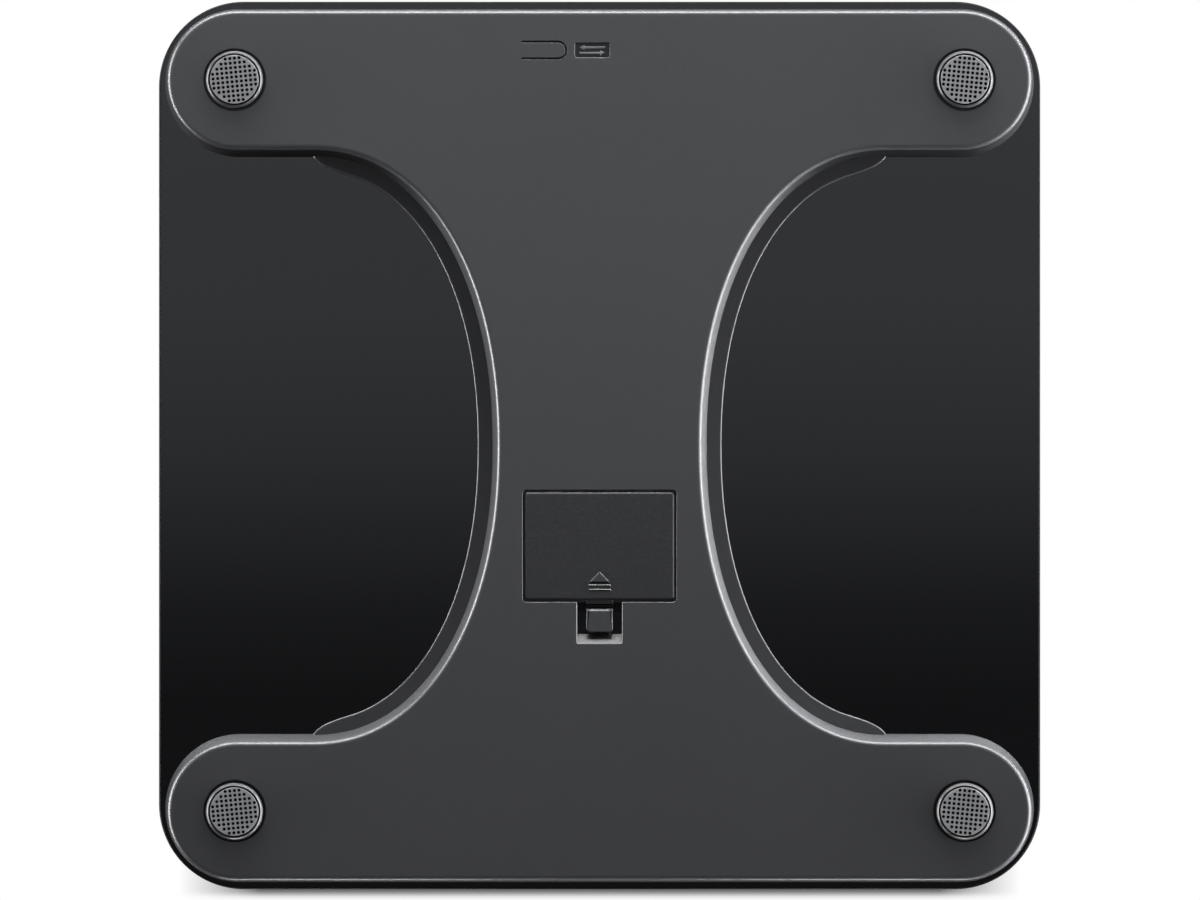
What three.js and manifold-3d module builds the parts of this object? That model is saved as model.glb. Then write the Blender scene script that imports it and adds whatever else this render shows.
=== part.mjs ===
// Digital bathroom scale: a glass platform bonded to a flat moulded casing with
// four weighing feet, a battery bay for three AAA cells and a unit button.
//
// Millimetres, +Z up. The scale stands on its feet at z = 0 with the glass on top.
// The display edge (the toe side) is at +Y and the heel side is at -Y.

import * as THREE from 'three';
import { mergeVertices } from 'three/addons/utils/BufferGeometryUtils.js';
import Module from 'manifold-3d';

const wasm = await Module();
wasm.setup();

// ---------------------------------------------------------------- sizes

// Glass platform.
const glassWidth = 280;
const glassDepth = 282;
const glassThick = 6;
const glassCorner = 27;
const glassBevel = 0.7;
const tapeThick = 0.5;

// Casing seen from below: two cross bars joined by a waist, with a hollow on each side.
const casingInset = 3.5;
const casingWall = 2.2;
const casingFloor = 2;
const browRadius = 1.5;
const wallDraft = 1.3;
const hollowReach = 58.3;
const hollowPower = 2.155;
const flangeWidth = 6.3;
const flangeThick = 1.6;
const flangeTip = 2;
const ribThick = 1.4;
const ribHeight = 4.6;
const ribFirst = 20;
const ribPitch = 42;
const ribClear = 6;
const ribFromWaist = 8;
const ribFromCarrier = 10;

// Clearances.
const fitGap = 0.3;
const slotGap = 0.5;

// How far joined solids run into each other, and how far a cutter runs past a face.
const bond = 0.5;
const pass = 1;

// Feet and weighing cells.
const footReach = 3.5;
const footRadius = 9;
const footWellGap = 0.7;
const footRimEdge = 0.45;
const padRadius = 7.6;
const padThick = 1.3;
const padReach = 0.5;
const padGap = 0.25;
const padEdge = 0.3;
const footShift = 0.75;
const carrierRadius = 18.2;
const carrierRoom = 1.65;
const carrierWall = 1;
const carrierPlate = 1.4;
const carrierRim = 0.6;
const plateSeat = 1.5;
const plateWell = 11;
const plateSide = 28;
const plateCorner = 7;
const plateThick = 1.2;
const plateSlot = 1.6;
const tongueWide = 10;
const tongueLong = 15;
const footTravel = 0.6;
const postRadius = 3;
const postDiscRadius = 9;
const postDiscThick = 1.7;
const postGap = 0.1;
const gaugeLong = 8;
const gaugeWide = 3;
const gaugeThick = 0.3;

// Battery bay, cover and latch.
const cellDiameter = 10.5;
const cellLength = 44.5;
const cellNubRadius = 1.9;
const cellNubLength = 0.9;
const cellEdge = 0.55;
const cellPitch = 10.8;
const cellCount = 3;
const bayY = -31.75;
const bayWall = 1.2;
const bayRoof = 0.8;
const contactDepth = 3.2;
const contactThick = 0.5;
const contactWide = 9;
const contactTall = 8;
const leadChannel = 3.55;
const tabThick = 0.8;
const tabHalf = 1;
const dimpleTip = 1.4;
const dimpleRoot = 2.6;
const springRadius = 3;
const springTip = 2;
const springWire = 0.3;
const springTurns = 2.5;
const coverWide = 47;
const coverDeep = 33.8;
const coverThick = 1.5;
const coverCorner = 1;
const coverSink = 0.1;
const coverGroove = 0.8;
const ledgeWide = 1.35;
const ledgeThick = 1.2;
const hookWide = 5;
const hookReach = 1.5;
const hookThick = 0.5;
const hookX = 14;
const pocketWide = 14.1;
const pocketDeep = 13.4;
const pocketFloor = 6.9;
const pocketRamp = 2.7;
const loopDeep = 8.7;
const latchWide = 8.5;
const latchLeg = 0.9;
const latchGap = 0.75;
const latchTab = 7.4;
const latchTabThick = 1.4;
const latchCorner = 1.3;
const latchSink = 0.2;
const lipSink = 0.5;
const signHeight = 0.2;
const signLine = 0.5;
const signHalf = 3.5;
const signTall = 3.6;
const signStep = 1.4;
const signGap = 0.85;
const signEdge = 3;

// Unit button and the badge beside it.
const buttonRootX = 24.6;
const buttonEdge = 12.7;
const buttonLong = 13.7;
const buttonWide = 4.7;
const buttonThick = 1.4;
const buttonPin = 1.1;
const buttonPinRadius = 1.4;
const buttonPinBack = 2.7;
const badgeX = 2.3;
const badgeWide = 10.9;
const badgeTall = 4.6;
const badgeDepth = 0.8;
const badgeThick = 0.4;
const badgeCorner = 0.6;
const arrowPitch = 1.5;
const arrowLong = 3.4;
const arrowWide = 0.45;
const arrowHead = 1.1;
const arrowRise = 0.15;

// Electronics.
const switchSide = 6;
const switchTall = 3.4;
const plungerRadius = 1.7;
const plungerLong = 2.7;
const plungerOut = 1.2;
const plungerRoom = 0.7;
const boardDeep = 43;
const boardThick = 1.6;
const boardEdge = 4.5;
const boardCorner = 1.5;
const bossInset = 3.8;
const bossRadius = 2.6;
const screwRadius = 0.8;
const screwHead = 2.3;
const screwHeadTall = 1.4;
const screwHeadEdge = 0.6;
const screwLong = 5;
const displayWide = 62;
const displayDeep = 26;
const displayThick = 2.4;
const displayFrameWall = 3;
const displayEdge = 20.5;
const displayCorner = 0.5;
const backlightThick = 2;
const backlightGap = 1;
const chipSide = 8;
const chipTall = 1.4;
const chipX = 20;
const chipEdge = 8;
const capacitorRadius = 2;
const capacitorTall = 4.5;
const capacitorX = 30;
const headerWide = 5;
const headerDeep = 14;
const headerTall = 4;
const headerGap = 1.2;
const headerEdge = 0.8;
const headerShift = 5.5;
const leadPitch = 4;
const leadBend = 5;
const leadRise = 0.6;
const laneRoom = 1;
const laneWide = 9.5;
const laneDrop = 2.5;
const sensorLead = 0.9;
const batteryLead = 0.75;

// ---------------------------------------------------------------- levels and places worked out

const faceZ = footReach;
const floorTop = faceZ + casingFloor;
const coverTop = faceZ + coverSink + coverThick;
const ledgeZ = coverTop + fitGap;
const cellZ = ledgeZ + ledgeThick + fitGap + cellDiameter / 2;
const bayTop = cellZ + cellDiameter / 2 + fitGap;
const casingTop = bayTop + bayRoof;
const glassZ = casingTop + tapeThick;
const outerX = glassWidth / 2 - casingInset;
const outerY = glassDepth / 2 - casingInset;
const armHalf = carrierRadius + carrierRoom + casingWall;
const hollowHalf = outerY - 2 * armHalf;
const footX = outerX - armHalf + footShift;
const footY = outerY - armHalf;
const bayHalfX = cellLength / 2 + contactDepth;
const waistHalf = bayHalfX + bayWall + leadChannel + casingWall;
const contactTab = leadChannel - fitGap;
const bayHalfY = ((cellCount - 1) * cellPitch + cellDiameter) / 2 + fitGap;
const coverLow = bayY - coverDeep / 2;
const coverHigh = bayY + coverDeep / 2;
const buttonY = outerY - buttonEdge;
const buttonPinTop = faceZ + buttonThick + buttonPin;
const switchZ = buttonPinTop + fitGap + plungerOut;
const boardZ = switchZ + switchTall + fitGap;
const boardTop = boardZ + boardThick;
const boardY = outerY - boardEdge - boardDeep / 2;
const boardWide = displayWide + 2 * (headerGap + headerWide + headerEdge);
const displayY = outerY - displayEdge - displayDeep / 2;
const headerY = boardY - headerShift;
const partY = boardY + boardDeep / 2 - chipEdge;
const partZ = boardTop + fitGap;
const carrierZ = floorTop + fitGap;
const carrierTop = carrierZ + carrierPlate;
const plateZ = carrierTop + plateSeat + fitGap;
const plateTop = plateZ + plateThick;
const notchZ = plateZ - postGap;
const pinX = buttonRootX - buttonLong + buttonPinBack;

// ---------------------------------------------------------------- materials

const finish = (color, roughness, metalness = 0) =>
  new THREE.MeshStandardMaterial({ color, roughness, metalness });

const blackGlass = finish(0x0b0c0e, 0.06);
const darkShell = finish(0x3a3c3f, 0.55);
const darkFitting = finish(0x2b2c2f, 0.5);
const foam = finish(0x15161a, 0.95);
const rubberGrey = finish(0x8d8f92, 0.85);
const palePlastic = finish(0xb9bcc0, 0.5);
const spring = finish(0xb8bbbf, 0.35, 1);
const boardGreen = finish(0x2d6b4a, 0.5);
const chipBlack = finish(0x17181a, 0.45);
const lcdGlass = finish(0x9ea79c, 0.25);
const cellSleeve = finish(0x3f6f9f, 0.4);
const leadRed = finish(0xa2262a, 0.5);
const leadBlack = finish(0x1b1b1d, 0.5);
const leadWhite = finish(0xd8d8d4, 0.5);
const gaugeFoil = finish(0xc98a3a, 0.45);

// ---------------------------------------------------------------- solids from geometries

function toSolid(geometry) {
  const bare = geometry.index ? geometry.toNonIndexed() : geometry.clone();
  bare.deleteAttribute('normal');
  bare.deleteAttribute('uv');
  const merged = mergeVertices(bare, 1e-5);
  return new wasm.Manifold(new wasm.Mesh({
    numProp: 3,
    vertProperties: new Float32Array(merged.attributes.position.array),
    triVerts: new Uint32Array(merged.index.array),
  }));
}

function toGeometry(solid) {
  const mesh = solid.getMesh();
  const geometry = new THREE.BufferGeometry();
  geometry.setAttribute('position', new THREE.BufferAttribute(mesh.vertProperties, 3));
  geometry.setIndex(new THREE.BufferAttribute(mesh.triVerts, 1));
  geometry.computeVertexNormals();
  return geometry;
}

const join = (...solids) => solids.reduce((all, solid) => all.add(solid));
const cut = (from, ...tools) => tools.reduce((rest, tool) => rest.subtract(tool), from);

function block(x, y, z) {
  const geometry = new THREE.BoxGeometry(x[1] - x[0], y[1] - y[0], z[1] - z[0]);
  geometry.translate((x[0] + x[1]) / 2, (y[0] + y[1]) / 2, (z[0] + z[1]) / 2);
  return toSolid(geometry);
}

const span = (a, b) => [Math.min(a, b), Math.max(a, b)];

function slab(shape, z, curveSegments = 6) {
  const geometry = new THREE.ExtrudeGeometry(shape, {
    depth: z[1] - z[0],
    bevelEnabled: false,
    curveSegments,
  });
  geometry.translate(0, 0, z[0]);
  return toSolid(geometry);
}

// A solid of revolution about a vertical axis; each profile point is [radius, height].
function turned(profile, x = 0, y = 0, segments = 24) {
  const points = profile.map(([radius, height]) => new THREE.Vector2(radius, height));
  const geometry = new THREE.LatheGeometry(points, segments);
  geometry.rotateX(Math.PI / 2);
  geometry.translate(x, y, 0);
  return toSolid(geometry);
}

const rod = (radius, z, x, y, segments = 16) =>
  turned([[0, z[0]], [radius, z[0]], [radius, z[1]], [0, z[1]]], x, y, segments);

function roundedRect(width, depth, radius, x = 0, y = 0) {
  const [w, d] = [width / 2, depth / 2];
  const shape = new THREE.Shape();
  shape.moveTo(x - w + radius, y - d);
  shape.lineTo(x + w - radius, y - d);
  shape.absarc(x + w - radius, y - d + radius, radius, -Math.PI / 2, 0);
  shape.lineTo(x + w, y + d - radius);
  shape.absarc(x + w - radius, y + d - radius, radius, 0, Math.PI / 2);
  shape.lineTo(x - w + radius, y + d);
  shape.absarc(x - w + radius, y + d - radius, radius, Math.PI / 2, Math.PI);
  shape.lineTo(x - w, y - d + radius);
  shape.absarc(x - w + radius, y - d + radius, radius, Math.PI, 1.5 * Math.PI);
  return shape;
}

// A closed stack of outlines with equal point counts, capped at both ends.
function loft(levels) {
  const count = levels[0].outline.length;
  const positions = levels.flatMap(({ outline, z }) => outline.flatMap((p) => [p.x, p.y, z]));
  const faces = [];
  for (let level = 0; level + 1 < levels.length; level += 1) {
    for (let i = 0; i < count; i += 1) {
      const next = (i + 1) % count;
      const [a, b] = [level * count + i, level * count + next];
      faces.push(a, b, b + count, a, b + count, a + count);
    }
  }
  const top = (levels.length - 1) * count;
  const lowCap = THREE.ShapeUtils.triangulateShape(levels[0].outline, []);
  const highCap = THREE.ShapeUtils.triangulateShape(levels.at(-1).outline, []);
  lowCap.forEach(([a, b, c]) => faces.push(c, b, a));
  highCap.forEach(([a, b, c]) => faces.push(top + a, top + b, top + c));
  const geometry = new THREE.BufferGeometry();
  geometry.setAttribute('position', new THREE.Float32BufferAttribute(positions, 3));
  geometry.setIndex(faces);
  return toSolid(geometry);
}

// The outline moved outwards along its own normals.
function grow(outline, distance) {
  const count = outline.length;
  return outline.map((point, i) => {
    const before = point.clone().sub(outline[(i + count - 1) % count]).normalize();
    const after = outline[(i + 1) % count].clone().sub(point).normalize();
    const along = before.add(after).normalize();
    const reach = distance / Math.max(0.5, along.dot(after));
    return new THREE.Vector2(point.x + along.y * reach, point.y - along.x * reach);
  });
}

// ---------------------------------------------------------------- outlines

// One quarter runs from the waist along the hollow and round the end of a cross bar.
function casingOutline() {
  const quarter = [];
  const hollowSteps = 14;
  for (let i = 0; i <= hollowSteps; i += 1) {
    const turn = (i / hollowSteps) * Math.PI / 2;
    const across = Math.cos(turn) ** (2 / hollowPower);
    const along = Math.sin(turn) ** (2 / hollowPower);
    quarter.push(new THREE.Vector2(waistHalf + hollowReach * (1 - across), hollowHalf * along));
  }
  const endSteps = 12;
  for (let i = 0; i <= endSteps; i += 1) {
    const turn = (i / endSteps) * Math.PI - Math.PI / 2;
    const x = outerX - armHalf + armHalf * Math.cos(turn);
    quarter.push(new THREE.Vector2(x, outerY - armHalf + armHalf * Math.sin(turn)));
  }
  const mirrored = (points, sx, sy) => points.map((p) => new THREE.Vector2(p.x * sx, p.y * sy));
  const back = [...quarter].reverse();
  return [
    ...quarter,
    ...mirrored(back, -1, 1).slice(0, -1),
    ...mirrored(quarter, -1, -1),
    ...mirrored(back, 1, -1).slice(0, -1),
  ];
}

const casingLine = casingOutline();
const innerLine = grow(casingLine, -casingWall);

// The low step beside each hollow: the casing line moved out, and run to a point at the bars.
function flangeShape(side) {
  const edge = grow(casingLine, flangeWidth);
  const limit = hollowHalf - flangeWidth - flangeTip;
  const near = edge.filter((p) => p.x * side > 0 && Math.abs(p.x) < waistHalf + hollowReach
    && Math.abs(p.y) < limit);
  near.sort((a, b) => a.y - b.y);
  const tip = waistHalf + hollowReach;
  const foot = hollowHalf - wallDraft;
  const shape = new THREE.Shape();
  const rim = [
    [side * tip, -hollowHalf - casingWall / 2],
    [side * tip, -foot],
    ...near.map((p) => [p.x, p.y]),
    [side * tip, foot],
    [side * tip, hollowHalf + casingWall / 2],
  ];
  const wall = grow(casingLine, -casingWall / 2)
    .filter((p) => p.x * side > 0 && Math.abs(p.x) < tip && Math.abs(p.y) < hollowHalf + 0.1)
    .sort((a, b) => b.y - a.y);
  [...rim, ...wall.map((p) => [p.x, p.y])].forEach(([x, y], i) => {
    if (i === 0) shape.moveTo(x, y);
    else shape.lineTo(x, y);
  });
  return shape;
}

// ---------------------------------------------------------------- glass and tape

function glassPlatform() {
  const level = (inset, z) => ({
    outline: roundedRect(
      glassWidth - 2 * inset,
      glassDepth - 2 * inset,
      glassCorner - inset,
    ).getPoints(10).slice(0, -1),
    z,
  });
  const top = glassZ + glassThick;
  return loft([
    level(glassBevel, glassZ),
    level(0, glassZ + glassBevel),
    level(0, top - glassBevel),
    level(glassBevel, top),
  ]);
}

function bondingTape() {
  const z = [casingTop, glassZ];
  const footprint = grow(casingLine, wallDraft);
  const sheet = join(
    loft([{ outline: footprint, z: z[0] }, { outline: footprint, z: z[1] }]),
    slab(flangeShape(1), z),
    slab(flangeShape(-1), z),
  );
  const inside = grow(innerLine, wallDraft);
  return cut(sheet, loft([
    { outline: inside, z: z[0] - pass },
    { outline: inside, z: z[1] + pass },
  ]));
}

// ---------------------------------------------------------------- casing

function casingBody() {
  const levels = [];
  const browSteps = 3;
  for (let i = 0; i <= browSteps; i += 1) {
    const turn = (i / browSteps) * Math.PI / 2;
    const inset = browRadius * (1 - Math.sin(turn));
    levels.push({ outline: grow(casingLine, -inset), z: faceZ + browRadius * (1 - Math.cos(turn)) });
  }
  levels.push({ outline: grow(casingLine, wallDraft), z: casingTop });
  return loft(levels);
}

function casingCavity() {
  return loft([
    { outline: innerLine, z: floorTop },
    { outline: grow(innerLine, wallDraft), z: casingTop + pass },
  ]);
}

function casingRibs(filled) {
  const z = [floorTop - bond, floorTop + ribHeight];
  const alongY = (x, y) => block([x - ribThick / 2, x + ribThick / 2], y, z);
  const alongX = (y, x) => block(x, [y - ribThick / 2, y + ribThick / 2], z);
  const barInner = waistHalf + ribFromWaist;
  const barOuter = footX - carrierRadius - ribFromCarrier;
  const spine = [bayY + bayHalfY + bayWall + ribClear, boardY - boardDeep / 2 - ribClear];
  const ribs = [ribFirst, ribFirst + ribPitch, -hollowHalf].map((y) =>
    alongX(y, [-hollowReach, hollowReach]));
  for (const side of [-1, 1]) {
    ribs.push(alongY(side * waistHalf / 2, spine));
    ribs.push(alongX(-footY, span(side * barInner, side * barOuter)));
    ribs.push(alongX(footY, span(side * (boardWide / 2 + ribClear), side * barOuter)));
    ribs.push(alongY(side * barInner, [-outerY, -hollowHalf]));
  }
  return join(...ribs).intersect(filled);
}

function baySolids() {
  const outX = bayHalfX + bayWall;
  const outY = bayHalfY + bayWall;
  const shell = block([-outX, outX], [bayY - outY, bayY + outY], [floorTop - bond, casingTop]);
  const room = block([-bayHalfX, bayHalfX], [bayY - bayHalfY, bayY + bayHalfY],
    [ledgeZ + ledgeThick, bayTop]);
  const neckX = coverWide / 2 + coverGroove - ledgeWide;
  const neck = block([-neckX, neckX], [bayY - bayHalfY, bayY + bayHalfY], [faceZ - pass, bayTop]);
  const recess = slab(
    roundedRect(coverWide + 2 * coverGroove, coverDeep + 2 * coverGroove, coverCorner, 0, bayY),
    [faceZ - pass, ledgeZ],
    3,
  );
  const hooks = [-1, 1].map((side) => block(
    [side * hookX - hookWide / 2 - fitGap, side * hookX + hookWide / 2 + fitGap],
    [bayY + bayHalfY - bond, coverHigh + hookReach + slotGap],
    [coverTop - hookThick - fitGap, ledgeZ + coverGroove],
  ));
  const tabs = [[1, 1], [-1, -1]].map(([side, row]) => block(
    span(side * bayHalfX, side * (outX + pass)),
    [bayY + row * cellPitch - tabHalf - fitGap, bayY + row * cellPitch + tabHalf + fitGap],
    [cellZ - tabThick / 2 - fitGap, cellZ + tabThick / 2 + fitGap],
  ));
  return { shell, openings: [room, neck, recess, ...hooks, ...tabs] };
}

// The finger pocket beside the cover: a deep slot for the latch loop, then a floor and a ramp.
function latchPocket() {
  const start = bayY - bayHalfY - bayWall - fitGap;
  const high = coverLow - coverGroove + bond;
  const low = high - pocketDeep;
  const half = pocketWide / 2;
  const loopLow = start - 2 * latchLeg - latchGap - 2 * fitGap;
  const wall = bayWall;
  const shell = join(
    block([-half - wall, half + wall], [low - wall, start + bayWall],
      [floorTop - bond, faceZ + pocketFloor + wall]),
    block([-half - wall, half + wall], [loopLow - wall, start + bayWall],
      [floorTop - bond, faceZ + loopDeep + wall]),
  );
  const ramp = new THREE.Shape();
  ramp.moveTo(start, faceZ - pass);
  ramp.lineTo(start, faceZ + pocketFloor);
  ramp.lineTo(low + pocketRamp, faceZ + pocketFloor);
  ramp.lineTo(low + pocketRamp, faceZ + pocketRamp);
  ramp.lineTo(low, faceZ);
  ramp.lineTo(low, faceZ - pass);
  const room = new THREE.ExtrudeGeometry(ramp, { depth: pocketWide, bevelEnabled: false });
  room.rotateY(Math.PI / 2);
  room.rotateX(Math.PI / 2);
  room.translate(-half, 0, 0);
  const openings = [
    toSolid(room),
    block([-half, half], [loopLow, start], [faceZ - pass, faceZ + loopDeep]),
    block([-half, half], [start - bond, high], [faceZ - pass, ledgeZ]),
  ];
  return { shell, openings };
}

function boardBosses() {
  const spots = [];
  for (const sx of [-1, 1]) {
    for (const sy of [-1, 1]) {
      spots.push([sx * (boardWide / 2 - bossInset), boardY + sy * (boardDeep / 2 - bossInset)]);
    }
  }
  return spots;
}

function buttonCutter() {
  const reach = buttonWide / 2 + slotGap;
  const shape = new THREE.Shape();
  const tip = buttonRootX - buttonLong + buttonWide / 2;
  shape.moveTo(buttonRootX + fitGap, buttonY - reach);
  shape.lineTo(buttonRootX + fitGap, buttonY + reach);
  shape.lineTo(tip, buttonY + reach);
  shape.absarc(tip, buttonY, reach, Math.PI / 2, 1.5 * Math.PI);
  return slab(shape, [faceZ - pass, floorTop + pass], 10);
}

function casingShell() {
  const filled = casingBody();
  const flangeZ = [casingTop - flangeThick, casingTop];
  const bay = baySolids();
  const pocket = latchPocket();
  const bosses = boardBosses().map(([x, y]) =>
    rod(bossRadius, [floorTop - bond, boardZ - fitGap], x, y));
  const bossHoles = boardBosses().map(([x, y]) =>
    rod(screwRadius + fitGap, [floorTop + bond, boardZ + pass], x, y));
  const badge = slab(
    roundedRect(badgeWide, badgeTall, badgeCorner, badgeX, buttonY),
    [faceZ - pass, faceZ + badgeDepth],
    3,
  );
  const wells = corners.map(([, sx, sy]) =>
    rod(footRadius + footWellGap, [faceZ - pass, floorTop + pass], sx * footX, sy * footY, 32));
  const walls = join(
    cut(filled, casingCavity()),
    slab(flangeShape(1), flangeZ),
    slab(flangeShape(-1), flangeZ),
  );
  const moulded = join(walls, casingRibs(filled), bay.shell, pocket.shell, ...bosses);
  return cut(moulded, ...bay.openings, ...pocket.openings, ...bossHoles, ...wells, badge,
    buttonCutter());
}

// ---------------------------------------------------------------- battery cover and latch

function coverSign() {
  const z = [faceZ + coverSink - signHeight, faceZ + coverSink + bond];
  const low = coverLow + signEdge;
  const base = low + signStep + signGap;
  const line = (from, to) => {
    const along = new THREE.Vector2(...to).sub(new THREE.Vector2(...from));
    const geometry = new THREE.BoxGeometry(along.length() + signLine, signLine, z[1] - z[0]);
    geometry.rotateZ(along.angle());
    geometry.translate((from[0] + to[0]) / 2, (from[1] + to[1]) / 2, (z[0] + z[1]) / 2);
    return toSolid(geometry);
  };
  return join(
    line([-signHalf, base], [0, base + signTall]),
    line([0, base + signTall], [signHalf, base]),
    line([-signHalf, base], [signHalf, base]),
    line([-signHalf, low + signStep], [signHalf, low + signStep]),
    line([-signHalf, low], [signHalf, low]),
  );
}

function batteryCover() {
  const z = [faceZ + coverSink, coverTop];
  const plate = slab(roundedRect(coverWide, coverDeep, coverCorner, 0, bayY), z, 3);
  const hooks = [-1, 1].map((side) => block(
    [side * hookX - hookWide / 2, side * hookX + hookWide / 2],
    [coverHigh - bond, coverHigh + hookReach],
    [coverTop - hookThick, coverTop],
  ));
  const legY = bayY - bayHalfY - bayWall - 2 * fitGap;
  const legX = [-latchWide / 2, latchWide / 2];
  const lip = block(legX, [legY - latchLeg, coverLow + bond], [z[0] + lipSink, coverTop]);
  const leg = block(legX, [legY - latchLeg, legY],
    [z[0] + lipSink, faceZ + loopDeep - 3 * fitGap - latchLeg]);
  return join(plate, ...hooks, lip, leg, coverSign());
}

function coverLatch() {
  const legY = bayY - bayHalfY - bayWall - 2 * fitGap;
  const top = faceZ + loopDeep - 2 * fitGap;
  const outer = legY - 2 * latchLeg - latchGap;
  const tabZ = [faceZ + latchSink, faceZ + latchSink + latchTabThick];
  const legX = [-latchWide / 2, latchWide / 2];
  const bridge = block(legX, [outer, legY], [top - latchLeg, top]);
  const leg = block(legX, [outer, outer + latchLeg], [tabZ[0], top]);
  const tab = slab(
    roundedRect(latchWide, latchTab, latchCorner, 0, outer + latchLeg - latchTab / 2),
    tabZ,
    4,
  );
  return join(bridge, leg, tab);
}

// ---------------------------------------------------------------- button and badge

function unitButton() {
  const half = buttonWide / 2;
  const tip = buttonRootX - buttonLong + half;
  const shape = new THREE.Shape();
  shape.moveTo(buttonRootX, buttonY - half);
  shape.lineTo(buttonRootX, buttonY + half);
  shape.lineTo(tip, buttonY + half);
  shape.absarc(tip, buttonY, half, Math.PI / 2, 1.5 * Math.PI);
  const blade = slab(shape, [faceZ, faceZ + buttonThick], 8);
  return join(blade, rod(buttonPinRadius, [faceZ + buttonThick - bond, buttonPinTop], pinX, buttonY));
}

// Two opposed arrows stand for changing over the unit.
function unitBadge() {
  const z = [faceZ + badgeDepth - badgeThick, faceZ + badgeDepth];
  const plate = slab(
    roundedRect(badgeWide - 2 * fitGap, badgeTall - 2 * fitGap, badgeCorner - fitGap / 2, badgeX,
      buttonY),
    z,
    3,
  );
  const arrow = (side) => {
    const y = buttonY + side * arrowPitch / 2;
    const shape = new THREE.Shape();
    shape.moveTo(badgeX - side * arrowLong, y - arrowWide / 2);
    shape.lineTo(badgeX + side * (arrowLong - arrowHead), y - arrowWide / 2);
    shape.lineTo(badgeX + side * (arrowLong - arrowHead), y - arrowHead / 2);
    shape.lineTo(badgeX + side * arrowLong, y);
    shape.lineTo(badgeX + side * (arrowLong - arrowHead), y + arrowHead / 2);
    shape.lineTo(badgeX + side * (arrowLong - arrowHead), y + arrowWide / 2);
    shape.lineTo(badgeX - side * arrowLong, y + arrowWide / 2);
    return slab(shape, [z[0] - arrowRise, z[0] + arrowRise]);
  };
  return join(plate, arrow(1), arrow(-1));
}

// ---------------------------------------------------------------- feet and weighing cells

// Corner name, then the signs of its X and Y.
const corners = [
  ['toe_left', -1, 1],
  ['toe_right', 1, 1],
  ['heel_left', -1, -1],
  ['heel_right', 1, -1],
];

function footHousing(x, y, side) {
  const seat = padThick + fitGap;
  const rim = plateTop + carrierRim;
  const body = turned([
    [0, seat],
    [padRadius + padGap, seat],
    [padRadius + padGap, padReach],
    [footRadius - footRimEdge, padReach],
    [footRadius, padReach + footRimEdge],
    [footRadius, carrierZ],
    [carrierRadius, carrierZ],
    [carrierRadius, rim],
    [carrierRadius - carrierWall, rim],
    [carrierRadius - carrierWall, plateZ - fitGap],
    [plateWell, plateZ - fitGap],
    [plateWell, carrierTop],
    [0, carrierTop],
  ], x, y, 28);
  const way = span(x - side * (carrierRadius - carrierWall - pass), x - side * (carrierRadius + pass));
  const notch = block(way, [y - sensorLead - 2 * fitGap, y + sensorLead + 2 * fitGap],
    [notchZ, rim + pass]);
  return cut(body, notch);
}

const footPad = (x, y) => turned([
  [0, 0],
  [padRadius - padEdge, 0],
  [padRadius, padEdge],
  [padRadius, padThick],
  [0, padThick],
], x, y, 24);

// A square spring plate; a slot on three sides frees the tongue that carries the load.
function loadCell(x, y, side) {
  const plate = roundedRect(plateSide, plateSide, plateCorner);
  const half = tongueWide / 2;
  const end = tongueLong / 2;
  const slot = new THREE.Path();
  const outline = [
    [-end, half], [end, half], [end, -half], [-end, -half],
    [-end, -half - plateSlot], [end + plateSlot, -half - plateSlot],
    [end + plateSlot, half + plateSlot], [-end, half + plateSlot],
  ];
  outline.forEach(([px, py], i) => {
    if (i === 0) slot.moveTo(px, py);
    else slot.lineTo(px, py);
  });
  slot.closePath();
  plate.holes.push(slot);
  const geometry = new THREE.ExtrudeGeometry(plate, {
    depth: plateThick,
    bevelEnabled: false,
    curveSegments: 5,
  });
  if (side < 0) geometry.rotateZ(Math.PI);
  geometry.translate(x, y, plateZ);
  return toSolid(geometry);
}

function strainGauge(x, y, side) {
  const mid = x - side * (tongueLong / 2 + (plateSide - tongueLong) / 4);
  return block([mid - gaugeWide / 2, mid + gaugeWide / 2], [y - gaugeLong / 2, y + gaugeLong / 2],
    [plateTop, plateTop + gaugeThick]);
}

const thrustPost = (x, y) => turned([
  [0, plateTop + footTravel + postGap],
  [postRadius, plateTop + footTravel + postGap],
  [postRadius, glassZ - fitGap - postDiscThick],
  [postDiscRadius, glassZ - fitGap - postDiscThick],
  [postDiscRadius, glassZ - fitGap],
  [0, glassZ - fitGap],
], x, y, 20);

// ---------------------------------------------------------------- cells and contacts

const cellRow = (index) => bayY + (1 - index) * cellPitch;
const plusEnd = (index) => (index % 2 === 0 ? 1 : -1);

function batteryCell(index) {
  const radius = cellDiameter / 2;
  const half = cellLength / 2;
  const points = [
    [0, -half],
    [radius - cellEdge, -half],
    [radius, -half + cellEdge],
    [radius, half - cellNubLength - cellEdge],
    [radius - cellEdge, half - cellNubLength],
    [cellNubRadius, half - cellNubLength],
    [cellNubRadius, half],
    [0, half],
  ].map(([r, h]) => new THREE.Vector2(r, h));
  const geometry = new THREE.LatheGeometry(points, 20);
  geometry.rotateZ(-plusEnd(index) * Math.PI / 2);
  geometry.translate(0, cellRow(index), cellZ);
  return toSolid(geometry);
}

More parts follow.
